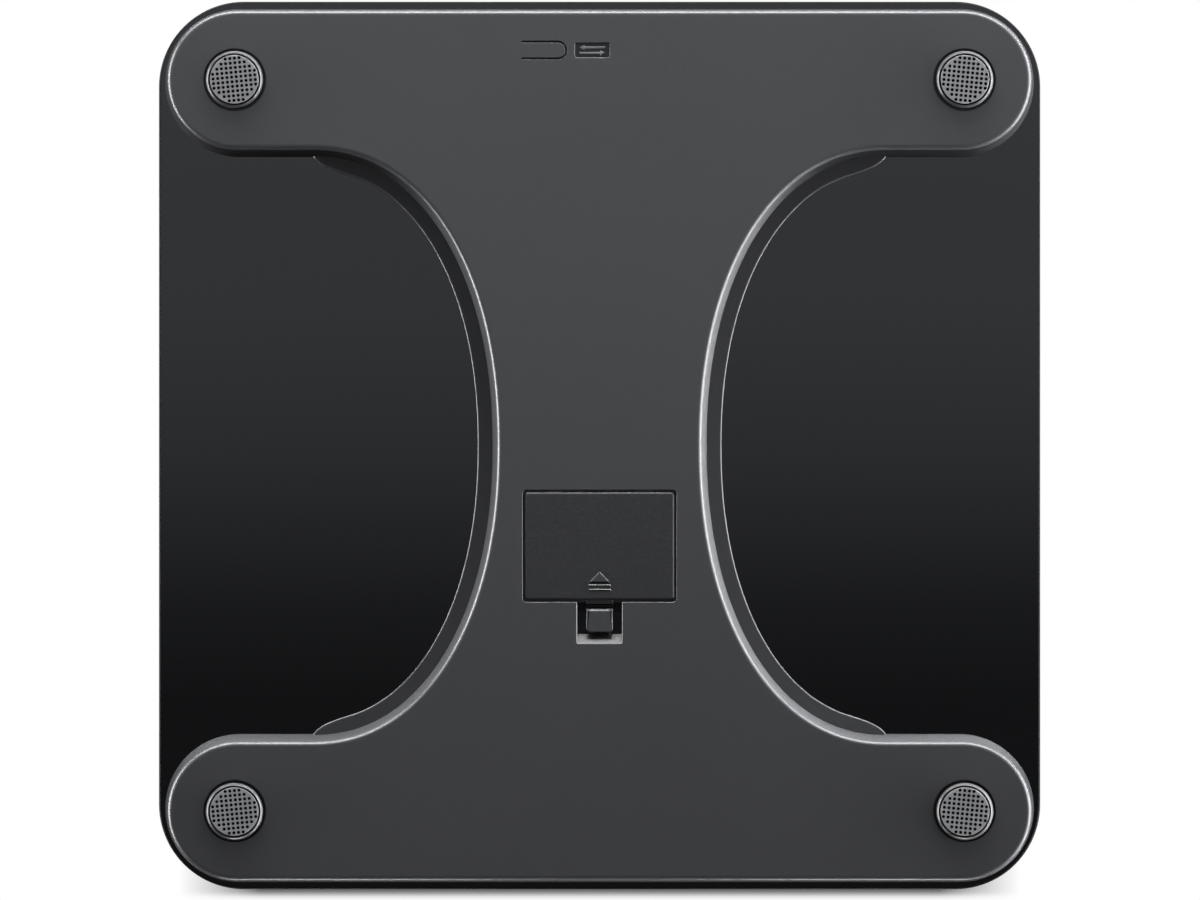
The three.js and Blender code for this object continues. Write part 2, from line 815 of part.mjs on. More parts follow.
// Conical coil that presses on a cell's flat end.
function contactSpring(side, y) {
  const start = bayHalfX - fitGap - contactThick;
  const end = cellLength / 2 + fitGap;
  class Coil extends THREE.Curve {
    getPoint(t, target = new THREE.Vector3()) {
      const turn = t * springTurns * 2 * Math.PI;
      const radius = springRadius + (springTip - springRadius) * t;
      const x = start + (end + springWire - start) * t;
      return target.set(side * x, y + radius * Math.cos(turn), cellZ + radius * Math.sin(turn));
    }
  }
  const wire = new THREE.Shape().absarc(0, 0, springWire, 0, 2 * Math.PI);
  return toSolid(new THREE.ExtrudeGeometry(wire, {
    steps: 26,
    curveSegments: 3,
    extrudePath: new Coil(),
    bevelEnabled: false,
  }));
}

function contactDimple(side, y) {
  const start = bayHalfX - fitGap - contactThick;
  const end = cellLength / 2 + fitGap;
  const points = [[0, end], [dimpleTip, end], [dimpleRoot, start + bond / 2], [0, start + bond / 2]]
    .map(([r, h]) => new THREE.Vector2(r, h));
  const geometry = new THREE.LatheGeometry(points, 12);
  geometry.rotateZ(-side * Math.PI / 2);
  geometry.translate(0, y, cellZ);
  return toSolid(geometry);
}

// One plate at an end of the bay, with a coil or a dimple for each cell it meets.
function contact(side, rows, tabRow) {
  const outer = bayHalfX - fitGap;
  const ys = rows.map(cellRow);
  const solids = [block(
    span(side * outer, side * (outer - contactThick)),
    [Math.min(...ys) - contactWide / 2, Math.max(...ys) + contactWide / 2],
    [cellZ - contactTall / 2, cellZ + contactTall / 2],
  )];
  rows.forEach((row) => {
    const meets = plusEnd(row) === side ? contactDimple : contactSpring;
    solids.push(meets(side, cellRow(row)));
  });
  if (tabRow !== undefined) {
    solids.push(block(
      span(side * (outer - contactThick / 2), side * (outer + fitGap + bayWall + contactTab)),
      [cellRow(tabRow) - tabHalf, cellRow(tabRow) + tabHalf],
      [cellZ - tabThick / 2, cellZ + tabThick / 2],
    ));
  }
  return join(...solids);
}

// ---------------------------------------------------------------- electronics

function circuitBoard() {
  const plate = slab(roundedRect(boardWide, boardDeep, boardCorner, 0, boardY), [boardZ, boardTop], 3);
  return cut(plate, ...boardBosses().map(([x, y]) =>
    rod(screwRadius + fitGap, [boardZ - pass, boardTop + pass], x, y, 12)));
}

const boardScrew = (x, y) => turned([
  [0, partZ - screwLong],
  [screwRadius, partZ - screwLong],
  [screwRadius, partZ],
  [screwHead, partZ],
  [screwHead, partZ + screwHeadTall - screwHeadEdge],
  [screwHead - screwHeadEdge, partZ + screwHeadTall],
  [0, partZ + screwHeadTall],
], x, y, 12);

function switchBody() {
  const half = switchSide / 2;
  const body = block([pinX - half, pinX + half], [buttonY - half, buttonY + half],
    [switchZ, switchZ + switchTall]);
  const top = switchZ + plungerLong - plungerOut + fitGap + plungerRoom;
  return cut(body, rod(plungerRadius + fitGap, [switchZ - pass, top], pinX, buttonY));
}

const switchPlunger = () =>
  rod(plungerRadius, [switchZ - plungerOut, switchZ - plungerOut + plungerLong], pinX, buttonY);

const displayTop = glassZ - fitGap;

const displayPanel = () => slab(
  roundedRect(displayWide, displayDeep, displayCorner, 0, displayY),
  [displayTop - displayThick, displayTop],
  2,
);

function displayFrame() {
  const z = [partZ, displayTop - displayThick - fitGap];
  const outer = slab(roundedRect(displayWide, displayDeep, displayCorner, 0, displayY), z, 2);
  const inner = [displayWide / 2 - displayFrameWall, displayDeep / 2 - displayFrameWall];
  return cut(outer, block([-inner[0], inner[0]], [displayY - inner[1], displayY + inner[1]],
    [z[0] - pass, z[1] + pass]));
}

function backlight() {
  const halfX = displayWide / 2 - displayFrameWall - backlightGap;
  const halfY = displayDeep / 2 - displayFrameWall - backlightGap;
  const top = displayTop - displayThick - fitGap;
  return block([-halfX, halfX], [displayY - halfY, displayY + halfY], [top - backlightThick, top]);
}

const boardPart = (x, y, width, depth, tall) => block([x - width / 2, x + width / 2],
  [y - depth / 2, y + depth / 2], [partZ, partZ + tall]);

const headerX = displayWide / 2 + headerGap + headerWide / 2;
const header = (side) => boardPart(side * headerX, headerY, headerWide, headerDeep, headerTall);
const headerFace = headerX + headerWide / 2 + fitGap;
const leadZ = partZ + headerTall / 2;

// ---------------------------------------------------------------- leads

// A flexible lead along hand-laid points; a step comes about every three diameters.
function lead(points, radius) {
  const path = new THREE.CatmullRomCurve3(points.map((p) => new THREE.Vector3(...p)), false,
    'centripetal');
  const section = new THREE.Shape().absarc(0, 0, radius, 0, 2 * Math.PI);
  const steps = Math.max(8, Math.round(path.getLength() / (6 * radius)));
  return toSolid(new THREE.ExtrudeGeometry(section, {
    steps,
    curveSegments: 4,
    extrudePath: path,
    bevelEnabled: false,
  }));
}

const cellLeadX = footX - plateSide / 2 - fitGap;
const cellLeadZ = notchZ + footTravel + fitGap + sensorLead;
const laneZ = casingTop - laneDrop;
const boardLow = boardY - boardDeep / 2;

// A point beside the hollow's wall, at a share of the hollow's half length and a room from the wall.
function lanePoint(share, room, z) {
  const across = (1 - Math.abs(share) ** hollowPower) ** (1 / hollowPower);
  return [waistHalf + hollowReach * (1 - across) - casingWall - room, share * hollowHalf, z];
}

const onSide = (side, points) => points.map(([x, y, z]) => [side * x, y, z]);

const toeLead = (side) => lead(onSide(side, [
  [cellLeadX, footY, cellLeadZ],
  [cellLeadX - leadBend, footY, cellLeadZ + leadRise],
  [waistHalf + hollowReach, footY - leadRise, leadZ - laneRoom],
  [headerX + 5 * leadBend, headerY + leadPitch, leadZ],
  [headerFace + leadBend, headerY + leadPitch, leadZ],
  [headerFace, headerY + leadPitch, leadZ],
]), sensorLead);

const heelLead = (side) => lead(onSide(side, [
  [cellLeadX, -footY, cellLeadZ],
  [cellLeadX - leadBend, -footY, cellLeadZ + leadRise],
  [waistHalf + hollowReach - leadBend, leadBend - footY, laneZ - leadRise],
  [waistHalf + hollowReach / 2, -hollowHalf - leadBend, laneZ],
  lanePoint(-0.79, laneWide, laneZ),
  lanePoint(-0.5, laneRoom, laneZ),
  lanePoint(-0.17, laneRoom, laneZ),
  lanePoint(0.17, laneRoom, laneZ),
  lanePoint(0.5, laneRoom, laneZ),
  lanePoint(0.79, laneWide, laneZ),
  [headerFace + 2 * leadBend, boardLow + leadBend, laneZ],
  [headerFace + 2 * leadBend, headerY - leadPitch / 2, leadZ],
  [headerFace + leadBend, headerY, leadZ],
  [headerFace, headerY, leadZ],
]), sensorLead);

const packLeadX = bayHalfX + bayWall + contactTab - batteryLead;

const packLead = (side, startY) => lead(onSide(side, [
  [packLeadX, startY, cellZ],
  [packLeadX, startY + leadBend, cellZ],
  lanePoint(0.08, laneRoom, cellZ),
  lanePoint(0.32, laneRoom, cellZ),
  lanePoint(0.64, laneWide / 2, cellZ),
  [headerFace + leadBend, boardLow - leadBend, leadZ - laneRoom],
  [headerFace + leadBend, boardLow + leadBend, leadZ],
  [headerFace + leadBend, headerY - leadPitch, leadZ],
  [headerFace, headerY - leadPitch, leadZ],
]), batteryLead);

// ---------------------------------------------------------------- assembly

const group = new THREE.Group();

function place(name, solid, material) {
  const mesh = new THREE.Mesh(toGeometry(solid), material);
  mesh.name = name;
  group.add(mesh);
}

place('glass_platform', glassPlatform(), blackGlass);
place('bonding_tape', bondingTape(), foam);
place('casing_shell', casingShell(), darkShell);
place('battery_cover', batteryCover(), darkShell);
place('cover_latch', coverLatch(), darkShell);
place('unit_button', unitButton(), darkShell);
place('unit_badge', unitBadge(), darkFitting);

for (const [corner, sx, sy] of corners) {
  const [x, y] = [sx * footX, sy * footY];
  place(`foot_housing_${corner}`, footHousing(x, y, sx), darkFitting);
  place(`foot_pad_${corner}`, footPad(x, y), rubberGrey);
  place(`load_cell_${corner}`, loadCell(x, y, sx), spring);
  place(`strain_gauge_${corner}`, strainGauge(x, y, sx), gaugeFoil);
  place(`thrust_post_${corner}`, thrustPost(x, y), palePlastic);
  const route = sy > 0 ? toeLead : heelLead;
  place(`sensor_lead_${corner}`, route(sx), leadWhite);
}

for (let index = 0; index < cellCount; index += 1) {
  place(`battery_cell_${index + 1}`, batteryCell(index), cellSleeve);
}
place('contact_plus', contact(1, [0], 0), spring);
place('contact_minus', contact(-1, [2], 2), spring);
place('contact_link_left', contact(-1, [0, 1]), spring);
place('contact_link_right', contact(1, [1, 2]), spring);
place('battery_lead_plus', packLead(1, cellRow(0) + tabHalf + fitGap), leadRed);
place('battery_lead_minus', packLead(-1, cellRow(2) + tabHalf + fitGap), leadBlack);

place('circuit_board', circuitBoard(), boardGreen);
boardBosses().forEach(([x, y], i) => place(`board_screw_${i + 1}`, boardScrew(x, y), spring));
place('switch_body', switchBody(), chipBlack);
place('switch_plunger', switchPlunger(), palePlastic);
place('display_panel', displayPanel(), lcdGlass);
place('display_frame', displayFrame(), palePlastic);
place('display_backlight', backlight(), palePlastic);
place('controller_chip', boardPart(-chipX, partY, chipSide, chipSide, chipTall), chipBlack);
place('storage_capacitor', rod(capacitorRadius, [partZ, partZ + capacitorTall], -capacitorX, partY),
  chipBlack);
place('lead_header_left', header(-1), palePlastic);
place('lead_header_right', header(1), palePlastic);

export default group;
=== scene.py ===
import math

import bmesh
import bpy
import numpy as np
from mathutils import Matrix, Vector
from mathutils.geometry import tessellate_polygon


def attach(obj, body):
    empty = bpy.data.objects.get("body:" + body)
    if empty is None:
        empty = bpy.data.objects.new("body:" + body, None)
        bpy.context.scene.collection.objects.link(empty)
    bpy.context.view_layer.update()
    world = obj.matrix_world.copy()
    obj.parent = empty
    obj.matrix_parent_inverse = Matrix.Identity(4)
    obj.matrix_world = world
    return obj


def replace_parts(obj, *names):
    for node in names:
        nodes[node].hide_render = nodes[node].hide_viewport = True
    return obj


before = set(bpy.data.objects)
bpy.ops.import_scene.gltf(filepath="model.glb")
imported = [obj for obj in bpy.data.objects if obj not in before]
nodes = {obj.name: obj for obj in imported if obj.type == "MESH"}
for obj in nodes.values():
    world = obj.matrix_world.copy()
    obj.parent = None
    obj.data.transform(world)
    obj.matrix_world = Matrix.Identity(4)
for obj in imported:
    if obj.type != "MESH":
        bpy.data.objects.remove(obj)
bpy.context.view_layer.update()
mm = 0.001  # pieces are given in millimetres; the camera, the lamps and the surroundings in metres
white = (1.0, 1.0, 1.0)
print("frame loaded,", len(nodes), "solids")


# a new object in the scene
def addObject(name, data):
    made = bpy.data.objects.new(name, data)
    bpy.context.scene.collection.objects.link(made)
    return made


# the camera is straight below the scale and looks up at its underside
camera = {"lens": 236.1, "sensor": 36.0, "clip": (0.01, 60.0),
          "place": (-0.00013, -0.00143, -2.481), "turn": (0.0, math.pi, 0.0)}

eye = addObject("camera", bpy.data.cameras.new("camera"))
eye.data.lens = camera["lens"]
eye.data.sensor_width = camera["sensor"]
eye.data.clip_start, eye.data.clip_end = camera["clip"]
eye.location = camera["place"]
eye.rotation_euler = camera["turn"]
bpy.context.scene.camera = eye


# a socket that takes part in sums: each operator adds one Math node
class Value:
    def __init__(self, sheet, socket):
        self.sheet = sheet
        self.socket = socket

    def join(self, operation, *values):
        return self.sheet.node("Math", {"operation": operation}, dict(enumerate(values)))

    def __add__(self, other):
        return self.join("ADD", self, other)

    def __sub__(self, other):
        return self.join("SUBTRACT", self, other)

    def __rsub__(self, other):
        return self.join("SUBTRACT", other, self)

    def __mul__(self, other):
        return self.join("MULTIPLY", self, other)

    def __gt__(self, other):
        return self.join("GREATER_THAN", self, other)

    __radd__ = __add__

    def absolute(self):
        return self.join("ABSOLUTE", self)

    def larger(self, other):
        return self.join("MAXIMUM", self, other)

    # (value - start) / width, held between 0 and 1
    def rising(self, start, width):
        return self.sheet.node("Math", {"operation": "DIVIDE", "use_clamp": True},
                               {0: self - start, 1: width})


# the nodes of one material or of the world
class Sheet:
    def __init__(self, owner):
        owner.use_nodes = True
        self.owner = owner
        self.tree = owner.node_tree
        self.tree.nodes.clear()

    # adds one node: its settings first, then the values or links of its sockets
    def node(self, kind, settings=None, values=None, out=0):
        made = self.tree.nodes.new("ShaderNode" + kind)
        for key, setting in (settings or {}).items():
            if key == "stops":
                fillRamp(made.color_ramp, setting)
            else:
                setattr(made, key, setting)
        for key, value in (values or {}).items():
            if isinstance(value, Value):
                self.tree.links.new(value.socket, made.inputs[key])
            else:
                made.inputs[key].default_value = value
        return Value(self, made.outputs[out])

    # the place in the piece's own axes
    def place(self):
        return self.node("TexCoord", out="Object")

    def axis(self, place, letter):
        return self.node("SeparateXYZ", values={"Vector": place}, out=letter)

    def noise(self, place, scale, detail=2.0, rough=0.5):
        return self.node("TexNoise", values={"Vector": place, "Scale": scale, "Detail": detail,
                                             "Roughness": rough})

    def bands(self, place, direction, scale):
        return self.node("TexWave", {"bands_direction": direction}, {"Vector": place, "Scale": scale})

    def bump(self, height, distance):
        return self.node("Bump", values={"Height": height, "Distance": distance})

    # mixes two colours, which sockets 6 and 7 take: first where share is 0, second where it is 1
    def blend(self, share, first, second):
        colours = {0: share, 6: opaque(first), 7: opaque(second)}
        return self.node("Mix", {"data_type": "RGBA"}, colours, out=2)

    # shows one shader in front and the other from behind
    def twoFaced(self, front, back):
        behind = self.node("NewGeometry", out="Backfacing")
        return self.node("MixShader", values={0: behind, 1: front, 2: back})

    def glow(self, tone):
        return self.node("Emission", values={"Color": opaque(tone)})

    def close(self, shader, output="OutputMaterial"):
        end = self.tree.nodes.new("ShaderNode" + output)
        self.tree.links.new(shader.socket, end.inputs["Surface"])
        return self.owner


# each stop is a place from 0 to 1 and its colour
def fillRamp(ramp, stops):
    while len(ramp.elements) < len(stops):
        ramp.elements.new(0.5)
    for element, (at, tone) in zip(ramp.elements, stops):
        element.position = at
        element.color = opaque(tone)


# a plain colour gets an alpha of 1, and a socket stays as it is
def opaque(tone):
    return (*tone, 1.0) if isinstance(tone, tuple) else tone


# turns build(sheet, place, look), which gives the inputs of a Principled shader, into a maker of materials
def finishMaker(build):
    def make(name, **look):
        sheet = Sheet(bpy.data.materials.new(name))
        return sheet.close(sheet.node("BsdfPrincipled", values=build(sheet, sheet.place(), look)))
    return make


# 1 on the outer walls, and on the toe bar's inner wall when lift is given, where the painted shade goes: the
# largest of |x|, |y| and y + lift, less start, over width, from 0 to 1
def outerShare(sheet, place, look, lift):
    x, y = (sheet.axis(place, letter) for letter in "XY")
    return x.absolute().larger(y.absolute().larger(y + lift)).rising(look["outerStart"], look["outerWide"])


# what a finish has where it names nothing else
mouldedLook = {"grain": 2600.0, "speck": 0.45, "cloud": 22.0, "cloudShare": 0.6, "roughSpread": 0.14,
               "relief": 0.000025}
plainLook = {"grain": 2500.0, "cloud": 300.0, "roughSpread": 0.1, "relief": 0.000004}


# Spark-eroded plastic: a fine grain moves the normal, a coarser speck the roughness and a slow cloud the
# tone. Where the look has an outer tone, that darker tone is painted shade: the outer walls take it and
# are rougher, and the toe bar's inner wall takes the painted shade alone.
@finishMaker
def mouldedPlastic(sheet, place, look):
    look = {**mouldedLook, **look}
    grain = sheet.noise(place, look["grain"], detail=3.0, rough=0.65)
    cloud = sheet.noise(place, look["cloud"], detail=3.0, rough=0.6)
    speck = sheet.noise(place, look["grain"] * look["speck"], detail=1.0)
    share = cloud * look["cloudShare"] + grain * (1 - look["cloudShare"])
    tone = sheet.blend(share, look["deep"], look["light"])
    rough = look["rough"] + (speck - 0.5) * look["roughSpread"]
    if "outer" in look:
        tone = sheet.blend(outerShare(sheet, place, look, look["toeLift"]), tone, look["outer"])
        rough = rough + outerShare(sheet, place, look, 0.0) * look["outerRough"]
    return {
        "Base Color": tone,
        "Roughness": rough,
        "Specular IOR Level": look["gloss"],
        "Normal": sheet.bump(grain, look["relief"]),
    }


# any smooth part: its tone and roughness wander a little, with a fine relief
@finishMaker
def plainFinish(sheet, place, look):
    look = {**plainLook, **look}
    cloud = sheet.noise(place, look["cloud"], detail=3.0, rough=0.6)
    grain = sheet.noise(place, look["grain"])
    return {
        "Base Color": sheet.blend(cloud, look["deep"], look["light"]),
        "Roughness": look["rough"] + (grain - 0.5) * look["roughSpread"],
        "Normal": sheet.bump(grain, look["relief"]),
    }


# fine lines drawn along X: noise that is stretched that way
@finishMaker
def brushedSteel(sheet, place, look):
    drawn = sheet.node("Mapping", values={"Vector": place, "Scale": look["stretch"]})
    lines = sheet.noise(drawn, look["lines"], detail=4.0, rough=0.7)
    return {
        "Base Color": sheet.blend(lines, look["deep"], look["light"]),
        "Metallic": 1.0,
        "Roughness": look["rough"] + (lines - 0.5) * look["roughSpread"],
        "Normal": sheet.bump(lines, look["relief"]),
    }


# solder mask over copper, which is paler and raised where two sets of straight bands meet
@finishMaker
def boardFinish(sheet, place, look):
    tracks = sheet.bands(place, "X", look["tracks"]) > look["tracksLevel"]
    buses = sheet.bands(place, "Y", look["buses"]) > look["busesLevel"]
    copper = tracks * buses
    share = copper * look["copperShare"] + sheet.noise(place, look["warp"]) * look["warpShare"]
    return {
        "Base Color": sheet.blend(share, look["deep"], look["light"]),
        "Roughness": look["rough"] - copper * look["smoother"],
        "Normal": sheet.bump(copper, look["relief"]),
    }


# a cell's coloured sleeve along X, with bare metal past its ends
@finishMaker
def windingSleeve(sheet, place, look):
    metal = sheet.axis(place, "X").absolute() > look["sleeveHalf"]
    grain = sheet.noise(place, look["grain"], detail=3.0)
    sleeve = sheet.blend(grain, look["deep"], look["light"])
    return {
        "Base Color": sheet.blend(metal, sleeve, look["end"]),
        "Metallic": metal,
        "Roughness": look["rough"] + grain * look["roughSpread"] - metal * look["endSmoother"],
        "Normal": sheet.bump(grain, look["relief"]),
    }


finishes = {
    "casing": mouldedPlastic(
        "casing_plastic", deep=(0.041, 0.042, 0.046), light=(0.053, 0.054, 0.059), rough=0.37, gloss=0.5),
    # paler than the casing plastic as painted light on the walls; its outer tone is painted shade on the
    # outer walls and the toe bar's inner wall
    "wall": mouldedPlastic(
        "wall_plastic", deep=(0.046, 0.047, 0.0495), light=(0.0665, 0.0675, 0.0705), rough=0.5, gloss=0.1,
        grain=1500.0, relief=0.00005, outer=(0.0095, 0.0098, 0.0108), outerRough=0.4, outerStart=0.116,
        outerWide=0.02, toeLift=0.048),
    # paler and less glossy than the casing plastic: the paler tone is painted light on the flanges' faces
    "flange": mouldedPlastic(
        "flange_plastic", deep=(0.06, 0.061, 0.064), light=(0.083, 0.0845, 0.089), rough=0.5, gloss=0.15,
        grain=1500.0, relief=0.00005),
    "core": mouldedPlastic(
        "core_plastic", deep=(0.035, 0.036, 0.039), light=(0.047, 0.048, 0.052), rough=0.42, gloss=0.32),
    # near black: painted shade down the slots, the mouths of holes and the badge's seat, on the button's
    # sides and the rings' hidden walls
    "shade": mouldedPlastic(
        "shade_plastic", deep=(0.004, 0.004, 0.0044), light=(0.007, 0.007, 0.0076), rough=0.7, gloss=0.03),
    "cover": mouldedPlastic(
        "cover_plastic", deep=(0.009, 0.0094, 0.0105), light=(0.014, 0.0145, 0.016), rough=0.38, gloss=0.45,
        cloud=30.0),
    "fitting": mouldedPlastic(
        "fitting_plastic", deep=(0.024, 0.025, 0.027), light=(0.036, 0.037, 0.04), rough=0.4, gloss=0.5,
        grain=1800.0, cloud=60.0, roughSpread=0.12, relief=0.00001),
    "sign": mouldedPlastic(
        "sign_plastic", deep=(0.016, 0.0165, 0.018), light=(0.024, 0.0245, 0.027), rough=0.3, gloss=0.9,
        cloud=30.0, roughSpread=0.1, relief=0.00001),
    "badge": mouldedPlastic(
        "badge_plastic", deep=(0.008, 0.0083, 0.009), light=(0.012, 0.0125, 0.0135), rough=0.45, gloss=0.25,
        cloud=60.0, roughSpread=0.1, relief=0.00001),
    "arrows": mouldedPlastic(
        "arrow_plastic", deep=(0.2, 0.205, 0.21), light=(0.3, 0.305, 0.31), rough=0.5, gloss=0.5,
        cloud=60.0, roughSpread=0.1, relief=0.00001),
    "ring": mouldedPlastic(
        "ring_plastic", deep=(0.04, 0.041, 0.043), light=(0.055, 0.056, 0.059), rough=0.33, gloss=0.45,
        grain=1800.0, cloud=60.0, roughSpread=0.1, relief=0.000006),
    "rubber": mouldedPlastic(
        "pad_rubber", deep=(0.26, 0.265, 0.28), light=(0.48, 0.485, 0.5), rough=0.8, gloss=0.25,
        grain=1800.0, cloud=300.0, roughSpread=0.1, relief=0.00005),
    # near black: painted shade on the walls and floors of the pad's pits
    "pitShade": mouldedPlastic(
        "pit_rubber", deep=(0.004, 0.004, 0.0043), light=(0.008, 0.008, 0.0086), rough=0.9, gloss=0.1,
        grain=1800.0, cloud=300.0, roughSpread=0.1, relief=0.00002),
    "glass": plainFinish(
        "black_glass", deep=(0.0016, 0.0017, 0.002), light=(0.0024, 0.0025, 0.003), rough=0.06,
        cloud=12.0, roughSpread=0.01, relief=0.0000002),
    "groundEdge": mouldedPlastic(
        "ground_edge", deep=(0.003, 0.003, 0.0035), light=(0.006, 0.006, 0.007), rough=0.4, gloss=0.07,
        grain=1800.0, cloud=60.0, roughSpread=0.1, relief=0.000004),
    "foam": mouldedPlastic(
        "foam_tape", deep=(0.006, 0.006, 0.007), light=(0.014, 0.014, 0.016), rough=0.9, gloss=0.2,
        grain=1500.0, cloud=200.0, roughSpread=0.1, relief=0.00008),
    "pale": plainFinish("pale_plastic", deep=(0.46, 0.47, 0.48), light=(0.55, 0.56, 0.57), rough=0.45),
    "steel": brushedSteel(
        "spring_steel", deep=(0.42, 0.43, 0.45), light=(0.62, 0.63, 0.65), rough=0.34, lines=40.0,
        stretch=(2.0, 90.0, 90.0), roughSpread=0.15, relief=0.000003),
    "board": boardFinish(
        "circuit_board", deep=(0.008, 0.045, 0.022), light=(0.04, 0.15, 0.08), rough=0.42, smoother=0.1,
        tracks=120.0, tracksLevel=0.8, buses=42.0, busesLevel=0.35, copperShare=0.6, warp=60.0,
        warpShare=0.2, relief=0.00002),
    "chip": plainFinish("chip_case", deep=(0.007, 0.007, 0.008), light=(0.014, 0.014, 0.016), rough=0.5),
    "display": plainFinish("display_cell", deep=(0.3, 0.34, 0.3), light=(0.35, 0.39, 0.34), rough=0.2),
    "cell": windingSleeve(
        "cell_sleeve", deep=(0.03, 0.11, 0.27), light=(0.06, 0.17, 0.36), end=(0.6, 0.61, 0.63),
        sleeveHalf=0.0205, grain=900.0, rough=0.34, roughSpread=0.08, endSmoother=0.08, relief=0.000004),
    "leadRed": plainFinish("lead_red", deep=(0.3, 0.012, 0.014), light=(0.42, 0.02, 0.022), rough=0.5),
    "leadBlack": plainFinish(
        "lead_black", deep=(0.009, 0.009, 0.01), light=(0.016, 0.016, 0.018), rough=0.5),
    "leadWhite": plainFinish("lead_white", deep=(0.62, 0.62, 0.6), light=(0.74, 0.74, 0.72), rough=0.5),
    "gauge": plainFinish(
        "gauge_foil", deep=(0.36, 0.17, 0.04), light=(0.62, 0.34, 0.1), rough=0.35, cloud=1500.0),
}
print("finishes made:", len(finishes))

# How finely surfaces are made. A shelf is the flat ring beside a rounded edge, which keeps the flat face
# flat in its shading.
meshing = {"closest": 0.00001, "mitreLimit": 0.5, "shelf": 0.15, "edgeSteps": 4, "axisRadius": 0.0001,
           "weld": 0.002, "sharpAngle": 35.0, "roundCount": 96}


# outlines are arrays of X, Y that run counter-clockwise; this one is centre + radius * (cos a, sin a)
def arcPoints(centre, radius, start, end, count):
    a = np.linspace(start, end, count)
    return np.stack([centre[0] + radius * np.cos(a), centre[1] + radius * np.sin(a)], 1)


def circle(x, y, radius, count=meshing["roundCount"]):
    return arcPoints((x, y), radius, 0, 2 * math.pi, count + 1)[:-1]


def rectangle(width, depth, x=0.0, y=0.0):
    return np.array([[-1, -1], [1, -1], [1, 1], [-1, 1]]) * [width / 2, depth / 2] + [x, y]


def square(half):
    return rectangle(2 * half, 2 * half)


def unit(vectors):
    return vectors / np.linalg.norm(vectors, axis=1, keepdims=True)


# Each corner becomes an arc tangent to its two sides. The arc's centre is on the corner's bisector, at
# radius / sin(half the corner's angle).
def roundedLoop(corners, radii, count=6):
    corners = np.asarray(corners, float)
    radii = np.broadcast_to(np.asarray(radii, float), len(corners))[:, None]
    back = unit(np.roll(corners, 1, 0) - corners)
    ahead = unit(np.roll(corners, -1, 0) - corners)
    half = np.arccos(np.clip((back * ahead).sum(1, keepdims=True), -1, 1)) / 2
    centre = corners + unit(back + ahead) * radii / np.sin(half)
    first, last = (corners + side * radii / np.tan(half) - centre for side in (back, ahead))
    start = np.arctan2(first[:, 1], first[:, 0])
    sweep = (np.arctan2(last[:, 1], last[:, 0]) - start + math.pi) % (2 * math.pi) - math.pi
    a = start[:, None] + sweep[:, None] * np.linspace(0, 1, count)
    points = (centre[:, None] + radii[:, None] * np.stack([np.cos(a), np.sin(a)], -1)).reshape(-1, 2)
    return points[np.linalg.norm(points - np.roll(points, 1, 0), axis=1) > meshing["closest"]]


# the outline moved outwards along its mitred normals
def grown(loop, distance):
    before = unit(loop - np.roll(loop, 1, 0))
    after = unit(np.roll(loop, -1, 0) - loop)
    along = unit(before + after)
    reach = distance / np.maximum(meshing["mitreLimit"], (along * after).sum(1, keepdims=True))
    return loop + np.stack([along[:, 1], -along[:, 0]], 1) * reach


# an open line moved to its right by the distance
def grownOpen(line, distance):
    along = unit(np.gradient(line, axis=0))
    return line + np.stack([along[:, 1], -along[:, 0]], 1) * distance


# adds Z, one value for all points or one for each
def atHeight(loop, z):
    return np.concatenate([loop, np.broadcast_to(np.reshape(z, (-1, 1)), (len(loop), 1))], 1)


# True where a ray towards +X crosses the outline an odd number of times
def insideLoop(points, loop):
    x, y = points[:, :1], points[:, 1:2]
    after = np.roll(loop, -1, 0)
    spans = (loop[:, 1] > y) != (after[:, 1] > y)
    run, rise = (after - loop).T
    rise = np.where(rise == 0, 1, rise)  # a level side is never crossed
    crossing = loop[:, 0] + (y - loop[:, 1]) * run / rise
    return (spans & (x < crossing)).sum(1) % 2 == 1


# a rounded edge in shares of its radius: inset 1 - sin t and lift 1 - cos t, for t up to a quarter turn
def edgeShares(steps):
    return [(1 - math.sin(t), 1 - math.cos(t)) for t in np.linspace(0, math.pi / 2, steps + 1)]


def asDrawn(outline):
    return outline


# The rows of a rounded edge from start on: each is set in by radius * inset and stands at
# start + rise * radius * lift. Below 0, the radius is that of a hole's mouth, which widens.
def edgeRows(loop, radius, start, steps=meshing["edgeSteps"], rise=1.0, hold=asDrawn):
    return [atHeight(hold(grown(loop, -radius * inset)), start + rise * radius * lift)
            for inset, lift in edgeShares(steps)]


